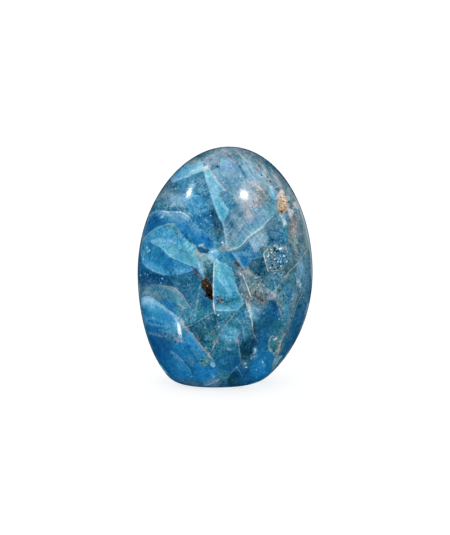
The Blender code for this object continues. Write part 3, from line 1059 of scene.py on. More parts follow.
# Among the pale specks, the milk, ice, light aqua and pale sky ones in the hexagon, from 271 to 288 across and 246
# to 269 down, and the ice speck at 175.7,188.5 are painted sparkles of light off cracks inside the stone; the
# others are pale grains of the stone.
PALE_SPECKS = """
ice 147,248,0.8,0.9 149.3,250.4,0.8,0.8 147.6,251.8,0.7,0.6 143.3,259,0.5,1.1 162.3,278.4,0.9,1.4,-40
 175.7,188.5,0.6,1.1 275.5,246.3,1.6,0.7,15 278,248.6,0.7,1 280.6,262.2,0.7,1.6 255,349.8,0.8,1.8
 240.6,176.2,1,0.6,30 162,217.2,0.9,0.6,-20
light_aqua 140.3,275.3,0.8,1.1 147.6,274.5,0.6,0.6 278,253.5,0.7,1 274.7,283,0.6,1.4 165.6,336.4,0.9,0.5
 287.5,252,0.6,0.8 281.4,266.4,0.7,1.3
aqua 145.5,273.6,0.7,0.7 161,283,0.7,0.7
milk 284,256,0.9,0.9 281.5,248.5,0.9,0.8 271.6,252.3,0.9,0.7 275,259.2,0.9,0.8 246.5,367.3,1,0.8
 276,338.7,1.1,0.6,-30 279,268.4,0.7,0.6 257,190,0.6,0.6 255.8,184.2,0.9,0.7 252.7,185.8,0.6,0.6
 205.3,167,0.8,0.7 207.8,166.4,0.6,0.9 285,200.7,0.6,0.6 282,206.4,0.7,0.6 279.3,202,0.5,0.7 210.4,215.6,0.5,0.5
 240.8,273.9,0.7,0.5 218.3,315,0.8,1 277.5,187,0.8,0.5 301.5,208.4,0.6,0.6 277.2,247.2,0.9,1.1
 282.6,250.6,0.9,0.9 222.6,242.6,0.9,1.3,-20 212,252,1,0.7
pale_haze 284.6,246.6,0.9,0.6,-30 303.5,297.5,0.6,0.6 254.6,356.4,1,0.8 275.5,350.5,0.8,0.6 219,326.5,0.9,0.8
 245.5,363.6,1.2,1 263.5,245.2,0.9,0.6 289,258.5,0.7,0.6 273.5,264.5,0.8,0.7 264,313,0.6,0.6 269.5,297,0.7,0.7
 295.5,214.5,0.6,0.6 212.7,225.5,0.6,0.6 286.6,261.6,0.7,0.7 268.6,260.4,0.6,0.9
tan 273.6,254.6,0.6,1.2 222.6,302,0.9,0.6 259.3,182.4,0.7,0.6 261,186.5,0.6,0.6 207.3,286,0.5,0.6
 205.2,347.8,0.7,0.6 275.2,190.6,0.5,0.8 247.4,296.2,0.7,1.1 256.3,287.6,0.9,0.6 264.8,285.7,0.7,0.7
 292.3,224.6,0.8,1.2 295.6,236.2,0.8,0.7
pale_sky 279.2,258.8,0.8,0.8 262.7,361.8,0.6,1.6,-25 153,318,0.6,0.6 206.3,209.8,0.6,0.6 199,212.2,0.5,0.5
 201,223.5,0.6,0.5 281.8,259.2,0.7,1.6 286.2,249.4,0.6,0.8
haze 251.3,358,0.7,1.1,15 256.6,369.8,0.9,0.8 236.8,367.2,0.8,1 205,327.3,0.6,1.2,15 278.8,318.8,1,0.9
 213.5,376.5,0.8,0.8 206,339,0.9,0.8 229,349,0.9,0.8
cornflower 260.3,371.3,1,0.8 256.6,377.4,0.8,0.9
sky 187.5,374.4,1,0.7 191.6,376.8,0.9,0.7
cream 269.3,252.6,1.3,0.7,10 272.4,257.4,0.8,0.8 270.5,267.6,0.8,0.7 275.6,267,0.8,0.6 252.8,284.2,0.9,0.7
 258.6,284.8,0.8,1 262.4,291.6,0.7,0.7 249.3,305.5,1.2,1.4 251.6,315.5,0.9,1.4 241.7,294.6,0.8,0.8
 296.7,222.8,0.7,0.8 291.6,231.4,0.7,0.8 258.4,188.2,0.7,0.7 254.4,188.6,0.6,0.8
"""

# The egg's box of small faces: how many along each side, and its depth to its width
CELLS_ACROSS = 160
CELLS_THROUGH = 36
CELLS_UPRIGHT = 220
BOX_DEPTH = 0.55
TINY = 1e-6
EGG_INPUTS = (
    ("Points Across", "NodeSocketInt"),
    ("Points Through", "NodeSocketInt"),
    ("Points Upright", "NodeSocketInt"),
    ("Width", "NodeSocketFloat"),
    ("Depth", "NodeSocketFloat"),
    ("Height", "NodeSocketFloat"),
    ("Belly Height", "NodeSocketFloat"),
    ("Tail Reach", "NodeSocketFloat"),
    ("Top Lean", "NodeSocketFloat"),
    ("Foot Lean", "NodeSocketFloat"),
    ("Section Power", "NodeSocketFloat"),
    ("Foot Rounding", "NodeSocketFloat"),
    ("Finish", "NodeSocketMaterial"),
)
# Broad, barely visible flats: the way they face, depth, breadth
FLATS = (
    (Vector((0.25, -0.90, 0.35)), 0.8 * MM, 0.60),
    (Vector((-0.15, 0.95, -0.05)), 1.2 * MM, 0.70),
    (Vector((-0.45, 0.60, 0.65)), 0.8 * MM, 0.50),
)

# Crystals that lie below the polish, and how deep
PITS = {"brown_inclusion": 0.18 * MM, "tan_patch": 0.15 * MM}

# In pixels of the photograph: how far markings are followed, the room that crystals of one layer
# need between their soft edges, how far from its line a vein fades out, and how many times its own
# reach a speck is followed
FAR_PIXELS = 8.0
EDGE_ROOM = 2.0
VEIN_FADE = 3.4
SPECK_REACH = 1.6

# Colours of the crystals that the photograph doesn't show
MOSAIC_STOPS = (
    (0.00, "midnight"),
    (0.14, "ocean"),
    (0.28, "deep_teal"),
    (0.42, "azure"),
    (0.54, "denim"),
    (0.66, "teal"),
    (0.78, "slate"),
    (0.88, "sky"),
    (1.00, "light_aqua"),
)

# How much each of red, green and blue gains as the stone turns milkier
MILK_STEP = (1.2, 1.0, 0.85)
# The traced tones were seen through the polish, which takes light from pale tones and adds some
# to dark ones. What their red, green and blue are multiplied by to undo that, and what is added
DEPTH_GAIN = (1.12, 1.10, 1.10)
DEPTH_SHIFT = (-0.062, -0.064, -0.085)

FLOOR_SIDE = 12.0
LAMP_DISTANCE = 0.8
# The lamps: name, where it glints, width, height, roll in degrees, share of the lamps' radiance
LAMPS = (
    ("left_lamp", LEFT_GLINT, 0.06, 0.105, 45.0, 1.0),
    ("right_lamp", RIGHT_GLINT, 0.085, 0.067, 0.0, 1.2),
    ("low_lamp", LOW_GLINT, 0.062, 0.11, 0.0, 0.8),
    ("side_light", RIM_GLINT, 0.20, 0.30, 0.0, 1.0),
)


def linear_tone(name):
    """A named tone, or the even mix of two, as linear red, green and blue."""
    mixed = np.zeros(3)
    names = name.split("/")
    for part in names:
        code = TONES[part]
        for place in range(3):
            channel = int(code[1 + 2 * place : 3 + 2 * place], 16) / 255
            mixed[place] += channel / 12.92 if channel <= 0.04045 else ((channel + 0.055) / 1.055) ** 2.4
    return tuple(mixed / len(names))


def read_rows(table):
    """The rows of a table, split into words, with the numbers among them as numbers."""

    def read(word):
        try:
            return float(word)
        except ValueError:
            return word

    rows = table.strip().replace("\n ", " ").splitlines()
    return [[read(word) for word in row.split()] for row in rows]


def read_line(words):
    """The points of an outline or a line, from words such as "12,30"."""
    return np.array([[float(n) for n in word.split(",")] for word in words])


def read_specks(table):
    """Every speck of a table: tone, place across and down, reach across and down, turn."""
    specks = []
    for tone, *words in read_rows(table):
        for word in words:
            x, y, wide, tall, *turn = [float(n) for n in word.split(",")]
            specks.append((tone, x, y, wide, tall, turn[0] if turn else 0.0))
    return specks


def solid(tone):
    """A named tone as the colour of a socket."""
    return (*linear_tone(tone), 1.0)


# ---------------------------------------------------------------- nodes


class Value:
    """An output of a node. A sum on it adds a Math node to the same tree."""

    def __init__(self, recipe, socket):
        self.recipe = recipe
        self.socket = socket

    def out(self, output):
        """Another output of the same node."""
        return Value(self.recipe, self.socket.node.outputs[output])

    def __add__(self, other):
        return self.recipe.calc("ADD", self, other)

    __radd__ = __add__

    def __sub__(self, other):
        return self.recipe.calc("SUBTRACT", self, other)

    def __rsub__(self, other):
        return self.recipe.calc("SUBTRACT", other, self)

    def __mul__(self, other):
        return self.recipe.calc("MULTIPLY", self, other)

    __rmul__ = __mul__

    def __truediv__(self, other):
        return self.recipe.calc("DIVIDE", self, other)

    def __rtruediv__(self, other):
        return self.recipe.calc("DIVIDE", other, self)

    def __pow__(self, power):
        return self.recipe.calc("POWER", self, power)

    def __abs__(self):
        return self.recipe.calc("ABSOLUTE", self)


class Recipe:
    """Adds nodes to one tree."""

    def __init__(self, tree):
        self.tree = tree

    def add(self, kind, settings=None, sockets=None, output=0):
        """Adds a node, makes its settings, then fills its sockets with values or links."""
        node = self.tree.nodes.new(kind)
        for name, setting in (settings or {}).items():
            if name == "stops":
                self.set_stops(node.color_ramp, setting)
            else:
                setattr(node, name, setting)
        for name, value in (sockets or {}).items():
            if isinstance(value, Value):
                self.tree.links.new(value.socket, node.inputs[name])
            else:
                node.inputs[name].default_value = value
        return Value(self, node.outputs[output])

    def set_stops(self, ramp, stops):
        while len(ramp.elements) < len(stops):
            ramp.elements.new(1.0)
        for element, (place, tone) in zip(ramp.elements, stops):
            element.position = place
            element.color = solid(tone)

    def calc(self, operation, *terms):
        return self.add("ShaderNodeMath", {"operation": operation}, dict(enumerate(terms)))

    def ease(self, value, low, high, start=0.0, end=1.0):
        """Goes smoothly from start to end as the value goes from low to high."""
        return self.add(
            "ShaderNodeMapRange",
            {"interpolation_type": "SMOOTHSTEP"},
            {"Value": value, "From Min": low, "From Max": high, "To Min": start, "To Max": end},
        )

    def mix(self, factor, first, second, blend="MIX"):
        """Mixes two colours."""
        return self.add(
            "ShaderNodeMix",
            {"data_type": "RGBA", "blend_type": blend},
            {0: factor, 6: first, 7: second},
            output=2,
        )

    def shade(self, colour, factor):
        """A colour made lighter or darker by a factor."""
        return self.add(
            "ShaderNodeVectorMath", {"operation": "SCALE"}, {0: colour, "Scale": factor}
        )

    def whiten(self, colour, amount):
        """A traced colour given its depth back, then made milkier, or clearer where the amount is
        below 0, by what the eye sees as the same step in dark and light tones."""
        root = self.add("ShaderNodeGamma", None, {0: colour, 1: 0.5})
        seen = self.add(
            "ShaderNodeVectorMath",
            {"operation": "MULTIPLY_ADD"},
            {0: root, 1: DEPTH_GAIN, 2: DEPTH_SHIFT},
        )
        milk = self.add("ShaderNodeVectorMath", {"operation": "SCALE"}, {0: MILK_STEP, "Scale": amount})
        changed = self.add("ShaderNodeVectorMath", {"operation": "ADD"}, {0: seen, 1: milk})
        clear = self.add(
            "ShaderNodeVectorMath", {"operation": "MAXIMUM"}, {0: changed, 1: (0.0, 0.0, 0.0)}
        )
        return self.add("ShaderNodeGamma", None, {0: clear, 1: 2.0})

    def attribute(self, name):
        return self.add("ShaderNodeAttribute", {"attribute_name": name}, output="Vector")

    def parts(self, vector):
        """The X, Y and Z of a vector."""
        first = self.add("ShaderNodeSeparateXYZ", None, {0: vector})
        return first, first.out(1), first.out(2)

    def noise(self, place, size, detail=2.0, salt=0.0, rough=0.5):
        """Soft noise about 0.5, in patches of that size in metres."""
        return self.add(
            "ShaderNodeTexNoise",
            {"noise_dimensions": "4D"},
            {"Vector": place, "W": salt, "Scale": 1 / size, "Detail": detail, "Roughness": rough},
        )

    def turned(self, place, turn, sizes):
        """The place turned by degrees round X, Y and Z, then counted in a size along each."""
        facing = self.add(
            "ShaderNodeVectorRotate",
            {"rotation_type": "EULER_XYZ"},
            {"Vector": place, "Rotation": [math.radians(angle) for angle in turn]},
        )
        return self.add(
            "ShaderNodeVectorMath",
            {"operation": "MULTIPLY"},
            {0: facing, 1: [1 / size for size in sizes]},
        )

    def cells(self, place, feature="F1"):
        """Cells of about one unit each."""
        return self.add(
            "ShaderNodeTexVoronoi", {"feature": feature}, {"Vector": place, "Scale": 1.0}
        )


# ---------------------------------------------------------------- form


def egg_tree():
    """Geometry nodes that shape a box of small faces into the egg with its flats ground."""
    tree = bpy.data.node_groups.new("egg_form", "GeometryNodeTree")
    for name, kind in EGG_INPUTS:
        tree.interface.new_socket(name, in_out="INPUT", socket_type=kind)
    tree.interface.new_socket("Stone", in_out="OUTPUT", socket_type="NodeSocketGeometry")
    recipe = Recipe(tree)
    given = recipe.add("NodeGroupInput")

    box = recipe.add(
        "GeometryNodeMeshCube",
        None,
        {
            "Size": (2.0, 2.0, 2.0),
            "Vertices X": given.out("Points Across"),
            "Vertices Y": given.out("Points Through"),
            "Vertices Z": given.out("Points Upright"),
        },
    )
    across, through, upright = recipe.parts(recipe.add("GeometryNodeInputPosition"))
    corner = recipe.add(
        "ShaderNodeCombineXYZ",
        None,
        {
            0: recipe.calc("TANGENT", across * math.atan(1 / BOX_DEPTH)) * BOX_DEPTH,
            1: recipe.calc("TANGENT", through * math.atan(BOX_DEPTH)),
            2: recipe.calc("TANGENT", upright * math.atan(1 / BOX_DEPTH)) * BOX_DEPTH,
        },
    )
    direction = recipe.add("ShaderNodeVectorMath", {"operation": "NORMALIZE"}, {0: corner})
    right, back, up = recipe.parts(direction)

    power = given.out("Section Power")
    flat = recipe.calc("MAXIMUM", (right**2.0 + back**2.0) ** 0.5, TINY)
    section = (abs(right) / flat) ** power + (abs(back) / flat) ** power
    reach = recipe.calc("MAXIMUM", section, TINY) ** (-1.0 / power)
    over = recipe.calc("MAXIMUM", up, 0.0)
    under = recipe.calc("MINIMUM", up, 0.0)
    lean = given.out("Top Lean") * over**2.0 + given.out("Foot Lean") * under * under
    rise = (given.out("Height") - given.out("Belly Height")) * over
    drop = given.out("Tail Reach") * under

    ground = None
    for facing, deepest, breadth in FLATS:
        toward = recipe.add(
            "ShaderNodeVectorMath",
            {"operation": "DOT_PRODUCT"},
            {0: direction, 1: facing.normalized()},
            output="Value",
        )
        off_axis = (1.0 - toward) / (breadth * breadth)
        depth = recipe.calc("EXPONENT", off_axis * off_axis * -1.0) * deepest
        ground = depth if ground is None else ground + depth

    height = given.out("Belly Height") + rise + drop - up * ground
    turn = given.out("Foot Rounding")
    low = recipe.calc("MINIMUM", recipe.calc("MAXIMUM", height, turn * -1.0), turn) + turn
    stood = low * low / (turn * 4.0) + recipe.calc("MAXIMUM", height - turn, 0.0)
    place = recipe.add(
        "ShaderNodeCombineXYZ",
        None,
        {
            0: lean + right * reach * given.out("Width") * 0.5 - right * ground,
            1: back * reach * given.out("Depth") * 0.5 - back * ground,
            2: stood,
        },
    )
    egg = recipe.add("GeometryNodeSetPosition", None, {"Geometry": box, "Position": place})
    smooth = recipe.add("GeometryNodeSetShadeSmooth", None, {"Geometry": egg})
    real = recipe.add("GeometryNodeRealizeInstances", None, {"Geometry": smooth})
    finished = recipe.add(
        "GeometryNodeSetMaterial",
        None,
        {"Geometry": real, "Material": given.out("Finish")},
    )
    end = tree.nodes.new("NodeGroupOutput")
    tree.links.new(finished.socket, end.inputs["Stone"])
    return tree


def grow_egg(form, finish):
    """The egg as a plain mesh, with its box fitted to the solid's."""
    tree = egg_tree()
    holder = bpy.data.objects.new("egg_holder", bpy.data.meshes.new("egg_holder"))
    bpy.context.scene.collection.objects.link(holder)
    modifier = holder.modifiers.new("egg_form", "NODES")
    modifier.node_group = tree
    chosen = {
        "Points Across": CELLS_ACROSS + 1,
        "Points Through": CELLS_THROUGH + 1,
        "Points Upright": CELLS_UPRIGHT + 1,
        "Width": form.egg_width,
        "Depth": form.egg_depth,
        "Height": form.egg_height,
        "Belly Height": form.belly_height,
        "Tail Reach": form.tail_reach,
        "Top Lean": form.top_lean,
        "Foot Lean": form.foot_lean,
        "Section Power": form.section_power,
        "Foot Rounding": form.foot_rounding,
        "Finish": finish,
    }
    for socket in tree.interface.items_tree:
        if socket.in_out == "INPUT":
            modifier[socket.identifier] = chosen[socket.name]
    graph = bpy.context.evaluated_depsgraph_get()
    mesh = bpy.data.meshes.new_from_object(holder.evaluated_get(graph))
    holder.modifiers.remove(modifier)
    bpy.data.objects.remove(holder, do_unlink=True)
    if len(mesh.vertices) == 0:
        raise RuntimeError("The egg's nodes made no mesh.")

    places = read_places(mesh)
    low, high = places.min(axis=0), places.max(axis=0)
    wanted_low, wanted_high = np.array(STONE_LOW), np.array(STONE_HIGH)
    places = wanted_low + (places - low) * (wanted_high - wanted_low) / (high - low)
    write_places(mesh, places)
    return mesh


def read_places(mesh):
    flat = np.empty(len(mesh.vertices) * 3)
    mesh.vertices.foreach_get("co", flat)
    return flat.reshape(-1, 3)


def read_normals(mesh):
    flat = np.empty(len(mesh.vertices) * 3)
    mesh.vertices.foreach_get("normal", flat)
    return flat.reshape(-1, 3)


def write_places(mesh, places):
    mesh.vertices.foreach_set("co", places.ravel())
    mesh.update()


def face_outwards(mesh):
    """Turns every face to look out of the stone."""
    shape = bmesh.new()
    shape.from_mesh(mesh)
    bmesh.ops.recalc_face_normals(shape, faces=shape.faces[:])
    shape.to_mesh(mesh)
    shape.free()


# ---------------------------------------------------------------- tracing


def photo_camera():
    """Where the photograph's camera stands, and its forward and up directions."""
    forward = Vector((0.0, math.cos(CAMERA_RISE), -math.sin(CAMERA_RISE)))
    up = Vector((0.0, math.sin(CAMERA_RISE), math.cos(CAMERA_RISE)))
    return CAMERA_AIM - forward * CAMERA_DISTANCE, forward, up


def where_shown(places):
    """Where places in the scene show in the photograph, in pixels across and down it."""
    eye, forward, up = photo_camera()
    offset = places - np.array(eye)
    scale = CAMERA_FOCUS_PIXELS / (offset @ np.array(forward))
    across = PHOTO_WIDTH / 2 + offset[:, 0] * scale
    down = PHOTO_HEIGHT / 2 - (offset @ np.array(up)) * scale
    return np.stack([across, down], axis=1)


def how_faced(places, normals):
    """How squarely each place faces the photograph's camera: 1 is straight at it, 0 side on."""
    toward = np.array(photo_camera()[0]) - places
    toward /= np.linalg.norm(toward, axis=1)[:, None]
    return np.sum(toward * normals, axis=1)


def beside_line(places, line):
    """How far places are from a line of points, and how far to one side of its nearest stretch."""
    nearest = np.full(len(places), np.inf)
    aside = np.zeros(len(places))
    for start, end in zip(line[:-1], line[1:]):
        step = end - start
        length = math.hypot(*step)
        offset = places - start
        along = np.clip(offset @ step / (length * length), 0, 1)
        gap = np.linalg.norm(offset - along[:, None] * step, axis=1)
        side = (offset[:, 1] * step[0] - offset[:, 0] * step[1]) / length
        closer = gap < nearest
        nearest = np.where(closer, gap, nearest)
        aside = np.where(closer, side, aside)
    return nearest, aside


def distance_from(places, line):
    """How far places are from a line of points, or from one point."""
    if len(line) == 1:
        return np.linalg.norm(places - line[0], axis=1)
    return beside_line(places, line)[0]


def depth_inside(places, outline):
    """How far places are inside a closed outline, in pixels. Outside it is less than 0."""
    closed = np.vstack([outline, outline[:1]])
    gap, _ = beside_line(places, closed)
    inside = np.zeros(len(places), dtype=bool)
    for (ax, ay), (bx, by) in zip(closed[:-1], closed[1:]):
        spans = (ay > places[:, 1]) != (by > places[:, 1])
        if ay != by:
            edge = (bx - ax) * (places[:, 1] - ay) / (by - ay) + ax
            inside ^= spans & (places[:, 0] < edge)
    return np.where(inside, gap, -gap)


def dots_along(line, spacing=1.0):
    """Dots on a line of points, no further apart than the spacing."""
    dots = []
    for start, end in zip(line[:-1], line[1:]):
        count = max(1, math.ceil(math.hypot(*(end - start)) / spacing))
        dots.append(start + (end - start) * np.linspace(0, 1, count, endpoint=False)[:, None])
    return np.vstack([*dots, line[-1:]])


def near_box(places, line, margin):
    """Which places are within the margin of a line's box."""
    low, high = line.min(axis=0) - margin, line.max(axis=0) + margin
    return np.all((places >= low) & (places <= high), axis=1)


def share_out(count, clash):
    """Puts shapes in layers. clash(i, j) says how the later shape i meets the earlier j:
    "over" puts it in a higher layer and "near" in any other layer."""
    layers = []
    for i in range(count):
        floor, taken = 0, set()
        for j in range(i):
            how = clash(i, j)
            if how == "over":
                floor = max(floor, layers[j] + 1)
            elif how == "near":
                taken.add(layers[j])
        while floor in taken:
            floor += 1
        layers.append(floor)
    return layers


def washed(places, tone, home):
    """The tone at each place with a home's washes laid over it, and how far they cover it."""
    cover = np.zeros((len(places), 1))
    for name, reach, opacity, *line in read_rows(WASHES.get(home, "")):
        gap = distance_from(places, read_line(line))
        share = (opacity * np.exp(-((gap / reach) ** 2)))[:, None]
        tone = tone * (1 - share) + np.array(linear_tone(name)) * share
        cover = cover + share - cover * share
    return tone, cover


def crystal_layers(places):
    """For each layer of crystals, (depth inside, softness, pale line) and tone at every place."""
    crystals = read_rows(CRYSTALS)
    outlines = [read_line(crystal[6:]) for crystal in crystals]
    softness = [crystal[4] for crystal in crystals]
    dots = [dots_along(np.vstack([outline, outline[:1]])) for outline in outlines]

    def clash(i, j):
        room = softness[i] + softness[j] + EDGE_ROOM
        if not near_box(dots[i], dots[j], room).any():
            return "apart"
        deepest = max(depth_inside(dots[i], outlines[j]).max(), depth_inside(dots[j], outlines[i]).max())
        if deepest > 0.8:
            return "over"
        return "near" if deepest > -room else "apart"

    chosen = share_out(len(crystals), clash)
    layers = []
    for layer in range(max(chosen) + 1):
        reach = np.zeros((len(places), 3))
        reach[:, 0] = -FAR_PIXELS
        reach[:, 1] = 0.6
        tone = np.zeros((len(places), 3))
        for index, (name, first, second, turn, soft, edge, *_) in enumerate(crystals):
            if chosen[index] != layer:
                continue
            outline = outlines[index]
            near = np.flatnonzero(near_box(places, outline, FAR_PIXELS))
            depth = depth_inside(places[near], outline)
            deeper = depth > reach[near, 0]
            near, depth = near[deeper], depth[deeper]
            way = np.array([math.cos(math.radians(turn)), math.sin(math.radians(turn))])
            ends = outline @ way
            part = np.clip((places[near] @ way - ends.min()) / np.ptp(ends), 0, 1)[:, None]
            part = part * part * (3 - 2 * part)
            reach[near, 0] = depth
            reach[near, 1] = soft
            reach[near, 2] = edge
            plain_tone = np.array(linear_tone(first)) * (1 - part) + np.array(linear_tone(second)) * part
            tone[near], _ = washed(places[near], plain_tone, name)
        layers.append((reach, tone))
    return layers


def vein_layers(places):
    """For each layer of veins, (distance to one side, half width, strength) and tone."""
    veins = read_rows(VEINS)
    lines = [read_line(vein[3:]) for vein in veins]
    dots = [dots_along(line) for line in lines]

    def clash(i, j):
        if not near_box(dots[i], dots[j], FAR_PIXELS).any():
            return "apart"
        return "near" if beside_line(dots[i], lines[j])[0].min() < FAR_PIXELS else "apart"

    chosen = share_out(len(veins), clash)
    layers = []
    for layer in range(max(chosen) + 1):
        reach = np.zeros((len(places), 3))
        tone = np.zeros((len(places), 3))
        nearest = np.full(len(places), FAR_PIXELS * 2)
        for index, (name, half_width, strength, *_) in enumerate(veins):
            if chosen[index] != layer:
                continue
            near = np.flatnonzero(near_box(places, lines[index], FAR_PIXELS))
            gap, aside = beside_line(places[near], lines[index])
            closer = gap < nearest[near]
            near, gap, aside = near[closer], gap[closer], aside[closer]
            past_end = np.sqrt(np.maximum(gap * gap - aside * aside, 0))
            fade = np.clip((VEIN_FADE - gap) / 1.6, 0, 1) * np.clip(1 - past_end / 1.5, 0, 1)
            nearest[near] = gap
            reach[near, 0] = aside
            reach[near, 1] = half_width
            reach[near, 2] = fade * strength
            tone[near] = linear_tone(name)
        layers.append((reach, tone))
    return layers


def speck_layers(places, specks):
    """For each layer of specks, (place across and down it in its own reach, weight) and tone."""

    def clash(i, j):
        _, ax, ay, a_wide, a_tall, _ = specks[i]
        _, bx, by, b_wide, b_tall, _ = specks[j]
        room = SPECK_REACH * (max(a_wide, a_tall) + max(b_wide, b_tall)) + 3.0
        return "near" if math.hypot(ax - bx, ay - by) < room else "apart"

    chosen = share_out(len(specks), clash)
    layers = []
    for layer in range(max(chosen) + 1):
        reach = np.zeros((len(places), 3))
        tone = np.zeros((len(places), 3))
        for index, (name, x, y, wide, tall, turn) in enumerate(specks):
            if chosen[index] != layer:
                continue
            cosine, sine = math.cos(math.radians(turn)), math.sin(math.radians(turn))
            offset = places - (x, y)
            local_x = (offset[:, 0] * cosine + offset[:, 1] * sine) / wide
            local_y = (offset[:, 1] * cosine - offset[:, 0] * sine) / tall
            far = np.hypot(local_x, local_y) * min(wide, tall)
            near = far < SPECK_REACH * max(wide, tall) + 1.5
            reach[near, 0] = local_x[near]
            reach[near, 1] = local_y[near]
            reach[near, 2] = 1.0
            tone[near] = linear_tone(name)
        layers.append((reach, tone))
    return layers


def soft_blend(places, blobs):
    """The blend of what the blobs carry, each weighing most at its own middle."""
    total = np.full(len(places), 1e-9)
    carried = 0.0
    for middle, wide, tall, turn, load, weight in blobs:
        cosine, sine = math.cos(math.radians(turn)), math.sin(math.radians(turn))
        offset = places - read_line([middle])
        local_x = (offset[:, 0] * cosine + offset[:, 1] * sine) / wide
        local_y = (offset[:, 1] * cosine - offset[:, 0] * sine) / tall
        share = weight / (1 + (local_x**2 + local_y**2) ** 2)
        total += share
        carried = carried + share[:, None] * np.array(load)[None, :]
    return carried / total[:, None]


def lay_on(mesh, name, values):
    """Keeps a vector for every vertex under a name."""
    attribute = mesh.attributes.new(name, "FLOAT_VECTOR", "POINT")
    attribute.data.foreach_set("vector", values.astype(np.float32).ravel())


def trace_face(mesh):
    """Lays the traced face on the mesh. Says how many layers each kind of marking takes."""
    places, normals = read_places(mesh), read_normals(mesh)
    shown, faced = where_shown(places), how_faced(places, normals)
    front = faced > -0.05
    counts = {}

    def keep(name, layers):
        counts[name] = len(layers)
        for number, (reach, tone) in enumerate(layers):
            whole = np.zeros((len(places), 3))
            whole[:, 0] = -FAR_PIXELS if name == "crystal" else 0.0
            whole[front] = reach
            lay_on(mesh, f"{name}_{number}", whole)
            whole = np.zeros((len(places), 3))
            whole[front] = tone
            lay_on(mesh, f"{name}_tone_{number}", whole)

    keep("crystal", crystal_layers(shown[front]))
    keep("vein", vein_layers(shown[front]))
    keep("dark", speck_layers(shown[front], read_specks(DARK_SPECKS)))
    keep("pale", speck_layers(shown[front], read_specks(PALE_SPECKS)))
    clouds = [(*cloud[:4], linear_tone(cloud[4]), cloud[5]) for cloud in read_rows(CLOUDS)]
    ground, _ = washed(shown, soft_blend(shown, clouds), "ground")
    lay_on(mesh, "ground_tone", ground)
    # The "over" washes hold pale marks of the stone and painted glow and halo round the three glints
    over, cover = washed(shown, np.zeros((len(places), 3)), "over")
    lay_on(mesh, "over_tone", over)
    lay_on(mesh, "face_state", np.hstack([faced[:, None], cover, np.zeros_like(cover)]))
    grain = [(*spot[:3], 0.0, spot[3:], 1.0) for spot in read_rows(GRAIN)]
    lay_on(mesh, "grain_state", soft_blend(shown, grain))
    return counts


def sink_pits(mesh):
    """Lets the brown inclusion and the rough patch lie a little below the polish."""
    places, normals = read_places(mesh), read_normals(mesh)
    shown, faced = where_shown(places), how_faced(places, normals)
    for name, *_, outline in [(*row[:6], row[6:]) for row in read_rows(CRYSTALS)]:
        if name in PITS:
            depth = depth_inside(shown, read_line(outline))
            sunk = np.clip((depth + 0.4) / 1.6, 0, 1) * (faced > 0.2)
            places -= normals * (sunk * PITS[name])[:, None]
    write_places(mesh, places)


# ---------------------------------------------------------------- finish


def traced_colour(recipe, place, counts, cover):
    """The face that the photograph shows."""
    colour = recipe.attribute("ground_tone")
    wander = (recipe.noise(place, 1.5 * MM, 3.0, salt=1.0) - 0.5) * 3.0
    ragged = wander + (recipe.noise(place, 0.45 * MM, 2.0, salt=2.0) - 0.5) * 2.2
    patchy = recipe.ease(recipe.noise(place, 1.9 * MM, 4.0, salt=3.0), 0.38, 0.60, 0.10, 1.0)
    cream = recipe.ease(recipe.noise(place, 0.8 * MM, 2.0, salt=16.0), 0.50, 0.60)
    for number in range(counts["crystal"]):
        depth, soft, edge = recipe.parts(recipe.attribute(f"crystal_{number}"))
        depth = depth + ragged * (0.36 + 0.40 * soft)
        inside = recipe.ease(depth, soft * -1.0, soft)
        tone = recipe.attribute(f"crystal_tone_{number}")
        rim = recipe.ease(abs(depth - 0.8), 1.2, 0.0) * edge * patchy * 0.75
        pale_edge = recipe.mix(cream * 0.5, solid("pale_haze"), solid("cream"))
        colour = recipe.mix(inside, colour, recipe.mix(rim, tone, pale_edge))
    for number in range(counts["vein"]):
        aside, half, strength = recipe.parts(recipe.attribute(f"vein_{number}"))
        off = abs(aside + ragged * 0.24)
        line = recipe.ease(off, half * 0.6 + 0.45, half * 0.6 - 0.30) * strength * (0.35 + 0.65 * patchy)
        tone = recipe.mix(cream * 0.4, recipe.attribute(f"vein_tone_{number}"), solid("cream"))
        colour = recipe.mix(line, colour, tone)
    # The "over" washes go on top: pale marks of the stone, and painted glow and halo round the three glints
    wisp = recipe.ease(recipe.noise(place, 2.0 * MM, 4.0, salt=17.0, rough=0.7), 0.30, 0.70, 0.55, 1.25)
    cover = recipe.calc("MINIMUM", cover * wisp, 1.0)
    over = recipe.shade(recipe.attribute("over_tone"), wisp)
    under = recipe.shade(colour, 1.0 - cover)
    colour = recipe.add("ShaderNodeVectorMath", {"operation": "ADD"}, {0: under, 1: over})
    for kind in ("dark", "pale"):
        for number in range(counts[kind]):
            across, down, weight = recipe.parts(recipe.attribute(f"{kind}_{number}"))
            off = (across * across + down * down) ** 0.5 + ragged * 0.55
            dot = recipe.ease(off, 1.30, 0.55) * recipe.ease(weight, 0.5, 0.9) * 0.85
            colour = recipe.mix(dot, colour, recipe.attribute(f"{kind}_tone_{number}"))
    return colour


